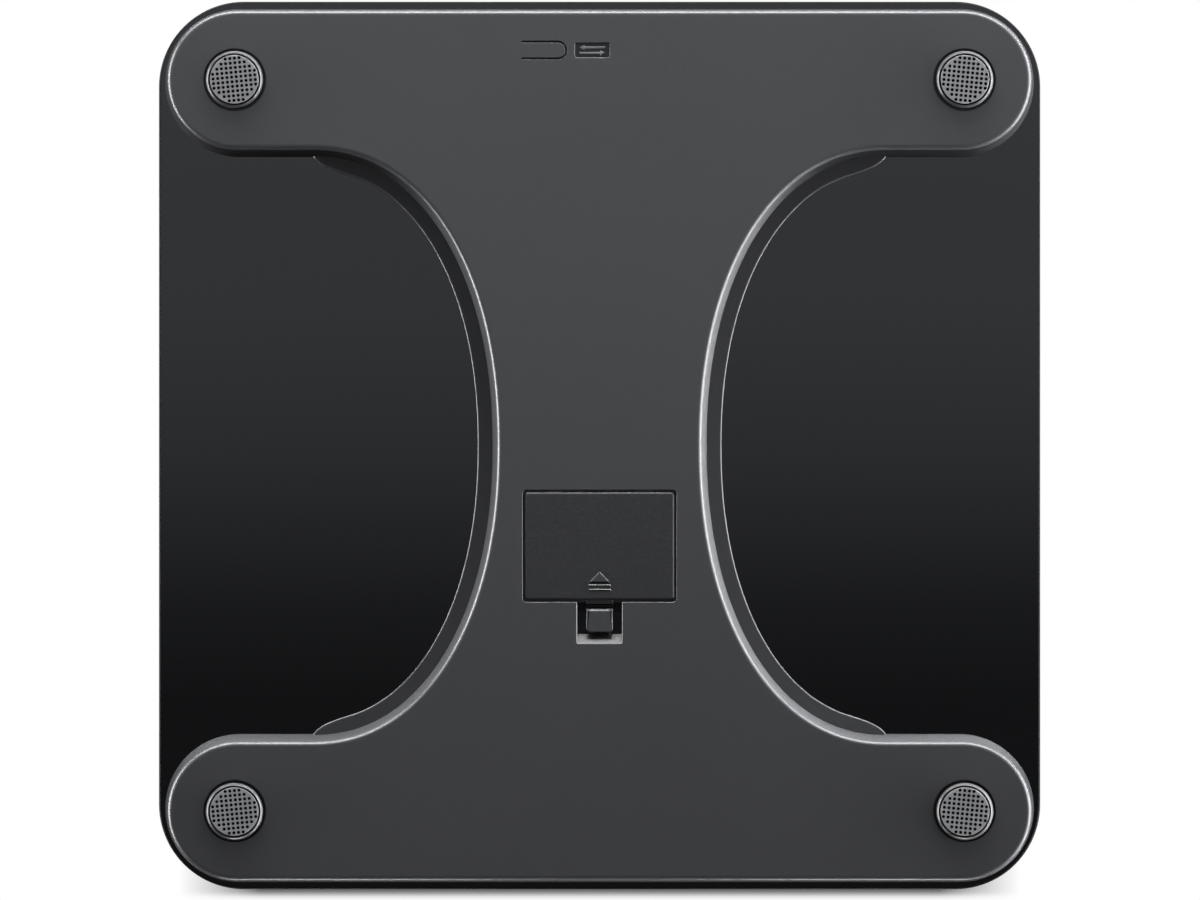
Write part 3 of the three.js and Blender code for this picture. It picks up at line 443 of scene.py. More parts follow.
# Rows of points become quads, flat outlines become triangles, and all of them become one mesh. The first
# finish goes where no other is asked for.
class Surface:
    def __init__(self, *finishNames):
        self.finishNames = finishNames
        self.points, self.faces, self.smooth, self.paint = [], [], [], []
        self.count = 0

    def add(self, points, faces, smooth=False, finish=None):
        self.points.append(points)
        self.faces += (faces + self.count).tolist()
        self.smooth += [smooth] * len(faces)
        self.paint += [self.finishNames.index(finish) if finish else 0] * len(faces)
        self.count += len(points)

    # another surface of the same finishes, its axes taken in the order given
    def take(self, other, order):
        self.points += [part[:, order] for part in other.points]
        self.faces += [[corner + self.count for corner in face] for face in other.faces]
        self.smooth += other.smooth
        self.paint += other.paint
        self.count += other.count

    # quad (i, j) joins points j and j + 1 of the closed rows i and i + 1
    def strip(self, rows, smooth=True, finish=None):
        rows = np.asarray(rows, float)
        rowCount, n = rows.shape[:2]
        i = np.arange(n)
        j = (i + 1) % n
        base = np.arange(rowCount - 1)[:, None] * n
        quads = np.stack([base + i, base + j, base + n + j, base + n + i], -1).reshape(-1, 4)
        self.add(rows.reshape(-1, 3), quads, smooth, finish)

    # flat triangles between the first outline and the others, which are holes in it
    def fill(self, outlines, finish=None):
        outlines = [np.asarray(outline, float) for outline in outlines]
        triangles = tessellate_polygon([list(map(Vector, outline)) for outline in outlines])
        self.add(np.concatenate(outlines), np.array(triangles), False, finish)

    # The outline from low to high, each edge rounded by its radius; one step makes a chamfer. hold puts
    # chosen points of the outline back where they belong.
    def slab(self, loop, low, high, lowEdge, highEdge, steps=meshing["edgeSteps"], rise=1.0, hold=asDrawn,
             finish=None, wallFinish=None, lowFinish=None):
        ends = []
        for edge, start, sign in ((lowEdge, low, 1), (highEdge, high, -1)):
            edge = np.reshape(edge, (-1, 1)).astype(float)
            rows = [atHeight(hold(loop), start)]
            if edge.any():
                rows = [atHeight(hold(grown(loop, -edge - meshing["shelf"])), start)]
                rows += edgeRows(loop, edge, start, steps, sign * rise, hold)
            ends.append(rows)
        below, above = ends
        self.strip(below, finish=finish)
        self.strip([below[-1], above[-1]], finish=wallFinish or finish)
        self.strip(above, finish=finish)
        self.fill([below[0]], lowFinish or finish)
        self.fill([above[0]], finish)

    # each point (radius, height) of the profile goes round the vertical axis
    def turned(self, profile, count=meshing["roundCount"], finish=None):
        self.strip([atHeight(circle(0, 0, max(radius, meshing["axisRadius"]), count), z)
                    for radius, z in profile], finish=finish)

    # Makes the mesh: mirrors it where side is -1, welds what touches, turns the faces outwards unless the
    # surface is open, and marks sharp edges.
    def piece(self, name, body, slot, side=1, shift=(0, 0, 0), isOpen=False):
        points = np.concatenate(self.points) * [side, 1, 1] + np.asarray(shift, float)
        mesh = bpy.data.meshes.new(name)
        mesh.from_pydata((points * mm).tolist(), [], self.faces)
        mesh.polygons.foreach_set("use_smooth", self.smooth)
        mesh.polygons.foreach_set("material_index", self.paint)
        work = bmesh.new()
        work.from_mesh(mesh)
        bmesh.ops.remove_doubles(work, verts=work.verts, dist=meshing["weld"] * mm)
        if not isOpen:
            bmesh.ops.recalc_face_normals(work, faces=work.faces)
        work.to_mesh(mesh)
        work.free()
        mesh.set_sharp_from_angle(angle=math.radians(meshing["sharpAngle"]))
        for finishName in self.finishNames:
            mesh.materials.append(finishes[finishName])
        made = addObject(name, mesh)
        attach(made, body)
        return made


# the faces of a solid that keep(corners) chooses; corners is faces x 3 x XYZ in millimetres
def cadCopy(node, finish, keep):
    source = nodes[node].data
    source.calc_loop_triangles()
    points = np.zeros(len(source.vertices) * 3)
    source.vertices.foreach_get("co", points)
    corner = np.zeros(len(source.loop_triangles) * 3, np.int32)
    source.loop_triangles.foreach_get("vertices", corner)
    corners = (points.reshape(-1, 3) / mm)[corner.reshape(-1, 3)]
    chosen = corners[keep(corners)]
    part = Surface(finish)
    part.add(chosen.reshape(-1, 3), np.arange(len(chosen) * 3).reshape(-1, 3))
    return part


casing = {
    "outerX": 136.5, "outerY": 137.5, "armHalf": 22.05, "waist": 32.4, "reach": 58.3, "power": 2.155,
    "face": 3.5, "top": 18.5, "brow": 1.5, "browSteps": 9, "browShelf": 0.4, "drafts": (1.77, 1.4, 1.1),
    "wall": 2.2, "wallRows": (0.03, 0.5, 1), "floor": 5.45, "steps": 56,
    "flangeWide": 6.3, "flangeThick": 1.6, "flangeEdge": 0.45, "flangeTopEdge": 0.15,
    "tipFrom": 84.6, "tipLead": 4.5, "tip": ((88.6, 87.7), (90.9, 91.6)), "tipSteps": 24, "tipRoot": 1.0,
    "rimBehind": 0.02, "coreInset": 0.45, "coreSlack": 0.1,
}
casing["hollow"] = casing["outerY"] - 2 * casing["armHalf"]
recess = {"wide": 48.6, "deep": 35.4, "y": -31.75, "corner": 1.2, "rim": 0.16, "behind": 0.1,
          "pocketWide": 14.1, "pocketLow": -62.35, "pocketCorner": 0.25, "pocketRim": 0.4,
          "slack": 0.05, "slotEnd": -12.6}
feet = {"x": 115.2, "y": 115.45, "radius": 9.0, "gap": 0.7, "rim": 0.25}
button = {"rootX": 24.6, "y": 124.8, "long": 13.7, "wide": 4.7, "gap": 0.62, "thick": 1.4, "rim": 0.08,
          "mouthShelf": 0.1, "tipCount": 28, "pinX": 13.6, "pinRadius": 1.4, "pinTop": 6.0, "pinRoot": 0.4,
          "pinEdge": 0.2, "pinCount": 32}
badge = {"x": 2.3, "y": 124.8, "wide": 10.9, "tall": 4.6, "corner": 0.6, "depth": 0.8, "thick": 0.4,
         "gap": 0.02, "rim": 0.2, "edge": 0.08, "pitch": 1.75, "half": 4.1, "line": 0.6, "head": 1.6,
         "rise": 0.2, "arrowCorner": 0.06, "arrowCount": 4, "arrowEdge": 0.04}


# x = waist + reach * (1 - cos(t)^(2/p)), y = hollow * sin(t)^(2/p), for t from 0 to a quarter turn
def hollowCurve(steps):
    t = np.linspace(0, math.pi / 2, steps)
    power = 2 / casing["power"]
    return np.stack([casing["waist"] + casing["reach"] * (1 - np.abs(np.cos(t)) ** power),
                     casing["hollow"] * np.sin(t) ** power], 1)


# the hollow's curve, then a half circle round the end of the bar, mirrored into four quarters
def casingLine():
    centre = (casing["outerX"] - casing["armHalf"], casing["outerY"] - casing["armHalf"])
    end = arcPoints(centre, casing["armHalf"], -math.pi / 2, math.pi / 2, casing["steps"])
    quarter = np.concatenate([hollowCurve(casing["steps"]), end])
    back = quarter[::-1]
    return np.concatenate([quarter, (back * [-1, 1])[:-1], -quarter, (back * [1, -1])[:-1]])


# how far the wall leans out at each point: most in the hollows, less at the sides, least at toe and heel
def draftOf(line):
    x, y = (np.abs(line[:, axis]) - casing[size] + casing["armHalf"]
            for axis, size in ((0, "outerX"), (1, "outerY")))
    turn = np.arctan2(y, np.maximum(x, 0))
    return np.interp(turn, (-math.pi / 2, 0, math.pi / 2), casing["drafts"])[:, None]


# The hollow's curve moved out by the flange, with a tip at each end, and back inside the wall. Each tip is
# the cubic (1-t)^3 start + 3 (1-t)^2 t first + 3 (1-t) t^2 second + t^3 last.
def flangeLoop(side):
    curve = hollowCurve(casing["steps"] * 2)
    both = np.concatenate([(curve * [1, -1])[:0:-1], curve])
    out = grownOpen(both, casing["flangeWide"])
    out = out[np.abs(out[:, 1]) < casing["tipFrom"]]
    t = np.linspace(0, 1, casing["tipSteps"] + 1)[1:, None]
    start = out[-1]
    first = start + unit(out[-1:] - out[-2:-1])[0] * casing["tipLead"]
    second, last = map(np.array, casing["tip"])
    tip = (1 - t) ** 3 * start + 3 * (1 - t) ** 2 * t * first + 3 * (1 - t) * t ** 2 * second + t ** 3 * last
    out = np.concatenate([(tip * [1, -1])[::-1], out, tip])
    back = grownOpen(both, -casing["wall"] / 2)
    back = back[(np.abs(back[:, 1]) < casing["hollow"]) & (back[:, 0] < last[0] - casing["tipRoot"])][::-1]
    high = casing["hollow"] + casing["wall"] / 2
    loop = np.concatenate([[[last[0], -high]], out, [[last[0], high]], back])
    return loop if side > 0 else (loop * [-1, 1])[::-1]


# the recess round the cover, with the finger pocket at its heel side
def recessLoop():
    halfX, halfY, y = recess["wide"] / 2, recess["deep"] / 2, recess["y"]
    pocket, low = recess["pocketWide"] / 2, recess["pocketLow"]
    corners = [[-halfX, y - halfY], [-pocket, y - halfY], [-pocket, low], [pocket, low],
               [pocket, y - halfY], [halfX, y - halfY], [halfX, y + halfY], [-halfX, y + halfY]]
    tight, wide = recess["pocketCorner"], recess["corner"]
    return roundedLoop(corners, [wide, tight, tight, tight, tight, wide, wide, wide])


# the pocket's rim is rounder than the rim round the cover
def recessRims(loop):
    inPocket = (loop[:, 1] < recess["y"] - recess["deep"] / 2 - recess["slack"])[:, None]
    return np.where(inPocket, recess["pocketRim"], recess["rim"])


# a tongue with a half-round tip; its first and last points stand on its root line
def tongueLoop(spread):
    half = button["wide"] / 2 + spread
    tip = (button["rootX"] - button["long"] + button["wide"] / 2, button["y"])
    bend = arcPoints(tip, half, math.pi / 2, 1.5 * math.pi, button["tipCount"])
    ends = [[button["rootX"], button["y"] + half], [button["rootX"], button["y"] - half]]
    return np.concatenate([ends[:1], bend, ends[1:]])


# puts the two root points back on the root line
def onRoot(loop):
    held = loop.copy()
    held[[0, -1], 0] = button["rootX"]
    return held


# Rows round the mouth of a hole: a flat shelf, a rounded rim, then straight up into the casing. Where
# behind is given, the walls stand back by it, behind those of the core.
def rimRows(loop, rim, low, behind=0.0, hold=asDrawn, shelf=meshing["shelf"]):
    z = casing["face"]
    rows = [atHeight(hold(grown(loop, rim + shelf)), z)]
    rows += edgeRows(loop, -rim, z, rise=-1.0, hold=hold)
    if behind:
        rows.append(atHeight(hold(grown(loop, behind)), z + rim + casing["rimBehind"]))
    return rows + [atHeight(hold(grown(loop, behind)), low)]


# The casing as it is seen: its face with a rounded brow, walls that lean out, the mouths of the wells, the
# recess and the button, the badge's seat, and the two flanges.
def casingSkin():
    skin = Surface("casing", "wall", "shade", "flange")
    line = casingLine()
    draft = draftOf(line)
    z, brow, top, floor = casing["face"], casing["brow"], casing["top"], casing["floor"]
    edge = [atHeight(grown(line, -brow - casing["browShelf"]), z)]
    edge += edgeRows(line, brow, z, casing["browSteps"])
    outer = [edge[-1]]
    outer += [atHeight(grown(line, draft * share), z + brow + (top - z - brow) * share)
              for share in casing["wallRows"]]
    inner = [atHeight(grown(line, draft - casing["wall"]), top),
             atHeight(grown(line, -casing["wall"]), floor)]
    skin.strip(edge)
    # the walls take the paler wall finish, painted light, with painted shade on the outer walls and the toe
    # bar's inner wall
    skin.strip(outer, finish="wall")
    skin.strip([outer[-1], inner[0]], smooth=False, finish="wall")
    skin.strip(inner, finish="wall")
    wells = [circle(sx * feet["x"], sy * feet["y"], feet["radius"] + feet["gap"])
             for sx in (-1, 1) for sy in (-1, 1)]
    mouths = [rimRows(well, feet["rim"], floor) for well in wells]
    mouths += [
        rimRows(recessLoop(), recessRims(recessLoop()), floor, behind=recess["behind"]),
        rimRows(tongueLoop(button["gap"]), button["rim"], floor, hold=onRoot, shelf=button["mouthShelf"]),
    ]
    sunk = roundedLoop(rectangle(badge["wide"], badge["tall"], badge["x"], badge["y"]), badge["corner"])
    sunk = rimRows(sunk, badge["rim"], z + badge["depth"])
    # the walls down into each mouth and into the badge's seat take painted shade
    for rows in mouths + [sunk]:
        skin.strip(rows[:-1])
        skin.strip(rows[-2:], finish="shade")
    skin.fill([edge[0]] + [rows[0] for rows in mouths + [sunk]])
    skin.fill([inner[1]] + [rows[-1] for rows in mouths])
    skin.fill([sunk[-1]])
    for side in (-1, 1):
        # the flanges' faces take the paler flange finish, painted light
        skin.slab(flangeLoop(side), top - casing["flangeThick"], top, casing["flangeEdge"],
                  casing["flangeTopEdge"], lowFinish="flange")
    return skin


# what lies behind the skin: the battery bay, finger pocket, ribs and bosses
def isCore(corners):
    low, high = corners[:, :, 2].min(1), corners[:, :, 2].max(1)
    line = casingLine()
    inner = grown(line, draftOf(line) - casing["wall"] - casing["coreInset"])
    slack = casing["coreSlack"]
    underFlange = low < casing["top"] - casing["flangeThick"] - slack
    behind = (low > casing["floor"] - slack) & (underFlange | insideLoop(corners.mean(1), inner))
    x, y = np.abs(corners[:, :, 0]), corners[:, :, 1]
    near = ((x.max(1) < recess["wide"] / 2 + recess["slack"]) & (y.max(1) < recess["slotEnd"])
            & (y.min(1) > recess["pocketLow"] - recess["slack"]))
    return behind | (near & (high > casing["face"] + slack))


skinPiece = casingSkin().piece("casing_skin", "platform", "dark_casing")
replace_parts(skinPiece, "casing_shell")
core = cadCopy("casing_shell", "core", isCore)
for points in core.points:  # its mouth starts where the skin's rounded rims end
    points[:, 2] = np.maximum(points[:, 2], casing["face"] + recessRims(points)[:, 0])
corePiece = core.piece("casing_core", "platform", "dark_casing", isOpen=True)
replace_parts(corePiece, "casing_shell")
print("casing made")

cover = {"wide": 47.0, "deep": 33.8, "y": -31.75, "corner": 1.0, "low": 3.6, "high": 5.1,
         "edge": 0.45, "edgeRise": 0.55, "backEdge": 0.15,
         "signLow": 3.4, "signHalf": 3.5, "signTall": 3.6, "signBase": -43.4, "bars": (-44.25, -45.65),
         "bar": 0.55, "signCorner": 0.1, "signSpread": 0.06, "signRoot": 0.05, "signEdge": 0.34,
         "signRise": 0.6,
         "hookX": 14.0, "hookWide": 5.0, "hookReach": 1.5, "hookThick": 0.5, "hookRoot": 0.6,
         "hookCorner": 0.3, "hookEdge": 0.1,
         "legWide": 8.5, "legFace": -49.9, "legThick": 0.9, "legTop": 10.4, "legCorner": 0.2,
         "legEdge": 0.15, "lip": 4.75, "lipHigh": 5.3, "lipRoot": 0.5, "lipEdge": 0.1}
latch = {"wide": 8.5, "outer": -52.45, "inner": -49.9, "leg": 0.9, "top": 11.6, "foot": 0.5,
         "bendRadii": (0.7, 0.2, 0.35, 0.2, 0.2, 1.2), "stripEdge": 0.12,
         "tabLong": 7.4, "tabLow": 3.7, "tabHigh": 5.1, "corner": 1.4, "rootCorner": 0.3, "cornerCount": 10,
         "edge": 0.35, "rootEdge": 0.9, "backEdge": 0.2, "slack": 0.01}


# a chamfered plate with its raised sign, two hooks at the toe side, and the leg that the latch hangs on
def coverSurface():
    made = Surface("cover", "sign")
    low, high = cover["low"], cover["high"]
    toe, heel = cover["y"] + cover["deep"] / 2, cover["y"] - cover["deep"] / 2
    plate = roundedLoop(rectangle(cover["wide"], cover["deep"], 0, cover["y"]), cover["corner"])
    made.slab(plate, low, high, cover["edge"], cover["backEdge"], steps=1, rise=cover["edgeRise"])
    half, base = cover["signHalf"], cover["signBase"]
    sign = [[[-half, base], [half, base], [0, base + cover["signTall"]]]]
    sign += [rectangle(2 * half, cover["bar"], 0, y) for y in cover["bars"]]
    for corners in sign:
        loop = grown(roundedLoop(corners, cover["signCorner"]), cover["signSpread"])
        made.slab(loop, cover["signLow"], low + cover["signRoot"], cover["signEdge"], 0, steps=1,
                  rise=cover["signRise"], finish="sign")
    reach, root = cover["hookReach"], cover["hookRoot"]
    for x in (-cover["hookX"], cover["hookX"]):
        hook = roundedLoop(rectangle(cover["hookWide"], reach + root, x, toe + (reach - root) / 2),
                           cover["hookCorner"])
        made.slab(hook, high - cover["hookThick"], high, cover["hookEdge"], cover["hookEdge"])
    leg = rectangle(cover["legWide"], cover["legThick"], 0, cover["legFace"] - cover["legThick"] / 2)
    made.slab(roundedLoop(leg, cover["legCorner"]), cover["lip"], cover["legTop"], cover["legEdge"],
              cover["legEdge"])
    lipEnd, legBack = heel + cover["lipRoot"], cover["legFace"] - cover["legThick"]
    lip = rectangle(cover["legWide"], lipEnd - legBack, 0, (lipEnd + legBack) / 2)
    made.slab(roundedLoop(lip, cover["legCorner"]), cover["lip"], cover["lipHigh"], cover["legEdge"],
              cover["lipEdge"])
    return made


# a strip bent over the top of the pocket, carried across X, with the finger tab at its foot
def latchSurface():
    made, bend = Surface("casing"), Surface("casing")
    outer, inner, top, thick = latch["outer"], latch["inner"], latch["top"], latch["leg"]
    face, foot = outer + thick, latch["tabLow"] + latch["foot"]
    side = roundedLoop([[inner, top], [inner, top - thick], [face, top - thick], [face, foot],
                        [outer, foot], [outer, top]], latch["bendRadii"])
    half, edge = latch["wide"] / 2, latch["stripEdge"]
    bend.slab(side[::-1], -half, half, edge, edge)
    made.take(bend, [2, 0, 1])
    root, tip, long = latch["rootCorner"], latch["corner"], latch["tabLong"]
    tab = roundedLoop(rectangle(latch["wide"], long, 0, face - long / 2), [tip, tip, root, root],
                      latch["cornerCount"])
    edges = np.where(tab[:, 1:] > face - root - latch["slack"], latch["rootEdge"], latch["edge"])
    made.slab(tab, latch["tabLow"], latch["tabHigh"], edges, latch["backEdge"])
    return made


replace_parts(coverSurface().piece("cover_plate", "cover", "dark_casing"), "battery_cover")
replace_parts(latchSurface().piece("latch_strip", "latch", "dark_casing"), "cover_latch")
print("cover and latch made")


# the tongue in the casing's face, with the pin on its back that presses the switch
def buttonSurface():
    made = Surface("casing", "shade")
    z, rim = casing["face"], button["rim"]
    back = z + button["thick"]
    # the tongue's sides take painted shade
    made.slab(tongueLoop(0.0), z, back, rim, rim, hold=onRoot, wallFinish="shade")
    pin = circle(button["pinX"], button["y"], button["pinRadius"], button["pinCount"])
    made.slab(pin, back - button["pinRoot"], button["pinTop"], 0, button["pinEdge"])
    return made


# a straight shaft and a three-sided head that points along side * X
def arrowLoop(side):
    half, head, line = badge["half"], badge["head"] / 2, badge["line"] / 2
    neck = half - badge["head"]
    across = np.array([[-half, -line], [neck, -line], [neck, -head], [half, 0],
                       [neck, head], [neck, line], [-half, line]])
    place = [badge["x"], badge["y"] + side * badge["pitch"] / 2]
    return roundedLoop(across * [side, side] + place, badge["arrowCorner"], badge["arrowCount"])


# a thin plate with two raised arrows that point opposite ways
def badgeSurface():
    made = Surface("badge", "arrows")
    z, gap = casing["face"] + badge["depth"] - badge["thick"], badge["gap"]
    plate = rectangle(badge["wide"] - 2 * gap, badge["tall"] - 2 * gap, badge["x"], badge["y"])
    made.slab(roundedLoop(plate, badge["corner"] - gap / 2), z, z + badge["thick"], badge["edge"], 0)
    for side in (-1, 1):
        made.slab(arrowLoop(side), z - badge["rise"], z + badge["rise"], badge["arrowEdge"], 0,
                  finish="arrows")
    return made


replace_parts(buttonSurface().piece("button_tongue", "button", "dark_casing"), "unit_button")
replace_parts(badgeSurface().piece("badge_plate", "platform", "dark_fitting"), "unit_badge")
print("button and badge made")

# each foot has a rounded ring that comes out of its well, round a pitted pad
pad = {"radius": 7.62, "thick": 1.3, "edge": 0.06, "edgeSteps": 5, "shelf": 0.03, "count": 72,
       "pitch": 1.47, "turn": math.radians(5.7), "reach": 7.1,
       "pit": 0.52, "pitLip": 0.03, "pitLipDeep": 0.05, "pitRoot": 0.46, "pitDeep": 1.0, "pitCount": 12}
ring = {"inner": 8.08, "chamfer": 0.1, "crest": 8.28, "round": 0.1, "roundCount": 4, "slope": 0.36,
        "steep": 2.0, "outer": 9.0, "low": 0.5, "seat": 1.6, "high": 6.2, "carrierLow": 5.75}


# a disc whose face has round pits on a square grid, turned a little; the pits' walls and floors are painted
# shade
def padSurface():
    made = Surface("rubber", "pitShade")
    half = int(pad["reach"] / pad["pitch"]) + 1
    steps = (np.arange(-half, half) + 0.5) * pad["pitch"]
    x, y = (grid.ravel() for grid in np.meshgrid(steps, steps))
    c, s = math.cos(pad["turn"]), -math.sin(pad["turn"])
    spots = np.stack([c * x - s * y, s * x + c * y], 1)
    spots = spots[np.linalg.norm(spots, axis=1) < pad["reach"]]
    pit = [(pad["pit"], 0), (pad["pit"] - pad["pitLip"], pad["pitLipDeep"]),
           (pad["pitRoot"], pad["pitDeep"])]
    mouths = []
    for spot in spots:
        rows = [atHeight(circle(*spot, radius, pad["pitCount"]), z) for radius, z in pit]
        made.strip(rows, finish="pitShade")
        made.fill([rows[-1]], finish="pitShade")
        mouths.append(rows[0])
    edge, radius, thick = pad["edge"], pad["radius"], pad["thick"]
    flat = radius - edge - pad["shelf"]
    rim = [(radius - edge * inset, edge * lift) for inset, lift in edgeShares(pad["edgeSteps"])]
    made.turned([(flat, 0.0), *rim, (radius, thick), (0.0, thick)], pad["count"])
    made.fill([atHeight(circle(0, 0, flat, pad["count"]), 0)] + mouths)
    return made


# a narrow crest, a round that leads into a 45 degree slope, then a steeper one down to the outer wall
def ringSurface():
    made = Surface("ring", "shade")
    low, crest, bend = ring["low"], ring["crest"], ring["round"]
    inner, outer, seat, high = ring["inner"], ring["outer"], ring["seat"], ring["high"]
    mouth = [(inner, low + ring["chamfer"]), (inner + ring["chamfer"], low)]
    mouth += [(crest + bend * math.sin(t), low + bend * (1 - math.cos(t)))
              for t in np.linspace(0, math.pi / 4, ring["roundCount"])]
    farX, farZ = (size + ring["slope"] for size in mouth[-1])
    mouth += [(farX, farZ), (outer, farZ + ring["steep"] * (outer - farX))]
    # the seat, the inner wall and the outer wall take painted shade
    made.turned([(0.0, seat), (inner, seat), mouth[0]], finish="shade")
    made.turned(mouth)
    made.turned([mouth[-1], (outer, high), (0.0, high)], finish="shade")
    return made


padForm, ringForm = padSurface(), ringSurface()
corners = {"toe_left": (-1, 1), "toe_right": (1, 1), "heel_left": (-1, -1), "heel_right": (1, -1)}
for corner, (sx, sy) in corners.items():
    spot = (sx * feet["x"], sy * feet["y"], 0)
    body = "foot_" + corner
    housing = "foot_housing_" + corner
    disc = padForm.piece("pad_" + corner, body, "foot_rubber", side=sx, shift=spot)
    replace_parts(disc, "foot_pad_" + corner)
    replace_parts(ringForm.piece("ring_" + corner, body, "dark_fitting", shift=spot), housing)
    carrier = cadCopy(housing, "fitting", lambda corners: corners[:, :, 2].min(1) > ring["carrierLow"])
    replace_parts(carrier.piece("carrier_" + corner, body, "dark_fitting", isOpen=True), housing)
print("feet made")

glass = {"wide": 280.0, "deep": 282.0, "corner": 27.0, "cornerCount": 25, "low": 19.0, "high": 25.0,
         "edge": 0.7, "edgeSteps": 5, "shelf": 0.3,
         "windowWide": 56.0, "windowDeep": 20.0, "windowY": 104.0, "windowCorner": 2.0, "windowCount": 8}
digits = {"tall": 13.0, "wide": 7.0, "line": 1.5, "gap": 0.12, "spots": (-6.9, 6.9), "lean": 0.1,
          "point": 1.7, "pointHigh": 0.9, "pointCount": 16}


# The six outer bars of a seven-segment nought, each with pointed ends, leaning a little. Each bar runs
# from a to b, straight up or level, and is made lying along the first axis.
def noughtLoops(x, y):
    half, side, t, gap = digits["tall"] / 2, digits["wide"] / 2, digits["line"] / 2, digits["gap"]

    def level(a, b, v):
        return np.array([[a + gap, v], [a + t + gap, v - t], [b - t - gap, v - t], [b - gap, v],
                         [b - t - gap, v + t], [a + t + gap, v + t]])

    bars = [level(-side + t, side - t, v) for v in (-half + t, half - t)]
    bars += [level(a, b, -u)[:, ::-1] * [-1, 1] for u in (-(side - t), side - t)
             for a, b in ((-half + t, 0), (0, half - t))]
    return [bar @ [[1, 0], [digits["lean"], 1]] + [x, y] for bar in bars]


# a slab with small rounded bevels; the window and its figures lie flush in the top face
def glassSurface():
    made = Surface("glass", "display", "chip", "groundEdge")
    loop = roundedLoop(rectangle(glass["wide"], glass["deep"]), glass["corner"], glass["cornerCount"])
    edge, low, high = glass["edge"], glass["low"], glass["high"]
    wall = edgeRows(loop, edge, low, glass["edgeSteps"])
    wall += edgeRows(loop, edge, high, glass["edgeSteps"], rise=-1.0)[::-1]
    under, top = (atHeight(grown(loop, -edge - glass["shelf"]), z) for z in (low, high))
    made.strip([under, wall[0]])
    made.strip(wall, finish="groundEdge")
    made.strip([wall[-1], top])
    made.fill([under])
    window = rectangle(glass["windowWide"], glass["windowDeep"], 0, glass["windowY"])
    window = atHeight(roundedLoop(window, glass["windowCorner"], glass["windowCount"]), high)
    made.fill([top, window])
    bars = [bar for x in digits["spots"] for bar in noughtLoops(x, glass["windowY"])]
    pointY = glass["windowY"] - digits["tall"] / 2 + digits["pointHigh"]
    bars.append(circle(0.0, pointY, digits["point"] / 2, digits["pointCount"]))
    bars = [atHeight(bar, high) for bar in bars]
    made.fill([window] + bars, finish="display")
    for bar in bars:
        made.fill([bar], finish="chip")
    return made


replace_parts(glassSurface().piece("glass_plate", "platform", "black_glass"), "glass_platform")
print("glass made")

# which CAD solids have which finish, by the starts of their names
wear = {
    "foam": ("bonding_tape",), "board": ("circuit_board",), "display": ("display_panel",),
    "chip": ("controller_chip", "storage_capacitor", "switch_body"),
    "pale": ("switch_plunger", "display_frame", "display_backlight", "thrust_post", "lead_header"),
    "cell": ("battery_cell",), "leadRed": ("battery_lead_plus",), "leadBlack": ("battery_lead_minus",),
    "leadWhite": ("sensor_lead",), "gauge": ("strain_gauge",), "glass": ("glass_platform",),
    "steel": ("load_cell", "contact", "board_screw"), "core": ("casing_shell",), "cover": ("battery_cover",),
    "casing": ("cover_latch", "unit_button"), "fitting": ("unit_badge", "foot_housing"),
    "rubber": ("foot_pad",),
}
for name, solid in nodes.items():
    chosen = next(finish for finish, starts in wear.items() if name.startswith(starts))
    solid.data.materials.clear()
    solid.data.materials.append(finishes[chosen])
print("solids dressed:", len(nodes))

# each stop of the card and of the shade, the painted contact shadow, is a place from 0 to 1 and a level
light = {
    "ambient": 0.08, "white": 1.0, "gloss": 0.45,
    "card": ((0.05, 0.13), (0.24, 0.13), (0.34, 0.23), (0.495, 0.58), (0.65, 0.8), (0.75, 0.81),
             (0.95, 0.94)),
    "cardTint": (0.975, 1.005, 1.07), "cardHalf": 0.85, "cardZ": -0.55, "cardRate": 2.6, "cardMiddle": 0.5,
    "flag": (0.05, 0.05, 0.05), "flagAway": 2.4, "flagZ": (-1.6, 0.5),
    "lidHole": (0.285, 0.287), "lidZ": 0.0256,
    "shade": ((0.0, 0.1), (0.15, 0.13), (0.3, 0.18), (0.42, 0.29), (0.56, 0.5), (0.72, 0.78), (1.0, 1.0)),
    "shadeY": -0.1405, "shadeWide": 0.0045, "shadeHalf": 0.108, "shadeFade": 0.026, "shadeUnder": 0.02,
    "floor": (0.82, 0.82, 0.82), "floorHalf": 30.0, "floorZ": -0.0008, "fadeStart": 0.5, "fadeWide": 0.9,
}
lamps = {  # what it is seen by, place, width, height, radiance; all face the origin
    "toe": ("diffuse", (0.0, 1.5, -0.05), 2.4, 0.4, 42.0),
    "left": ("diffuse", (1.5, 0.0, 0.02), 1.2, 0.4, 23.5),
    "right": ("diffuse", (-1.5, 0.0, 0.045), 3.0, 0.4, 64.0),
    "above": ("diffuse", (0.0, 0.0, 3.0), 6.0, 6.0, 1.7),
    "toe_gloss": ("glossy", (0.0, 1.4, -0.56), 2.6, 0.5, 32.0),
    "left_gloss": ("glossy", (1.5, 0.0, -0.1), 1.6, 0.6, 36.0),
    "right_gloss": ("glossy", (-1.5, 0.0, -0.15), 2.6, 0.5, 30.0),
    "right_low": ("glossy", (-1.25, 0.0, -0.75), 0.8, 0.3, 22.0),
    "heel_left": ("glossy", (0.102, -0.32, 0.014), 0.12, 0.02, 48.0),
    "heel_right": ("glossy", (-0.102, -0.32, 0.014), 0.12, 0.02, 48.0),
}


def hideFrom(thing, *rays):
    for ray in rays:
        setattr(thing, "visible_" + ray, False)


# power is radiance * pi * area
def areaLamp(name, seenBy, place, width, height, radiance):
    data = bpy.data.lights.new(name, "AREA")
    data.shape = "RECTANGLE"
    data.size = width
    data.size_y = height
    data.energy = radiance * math.pi * width * height
    lamp = addObject("lamp_" + name, data)
    lamp.location = place
    lamp.rotation_euler = (-Vector(place)).to_track_quat("-Z", "Y").to_euler()
    hideFrom(lamp, "camera", "transmission", "glossy" if seenBy == "diffuse" else "diffuse")


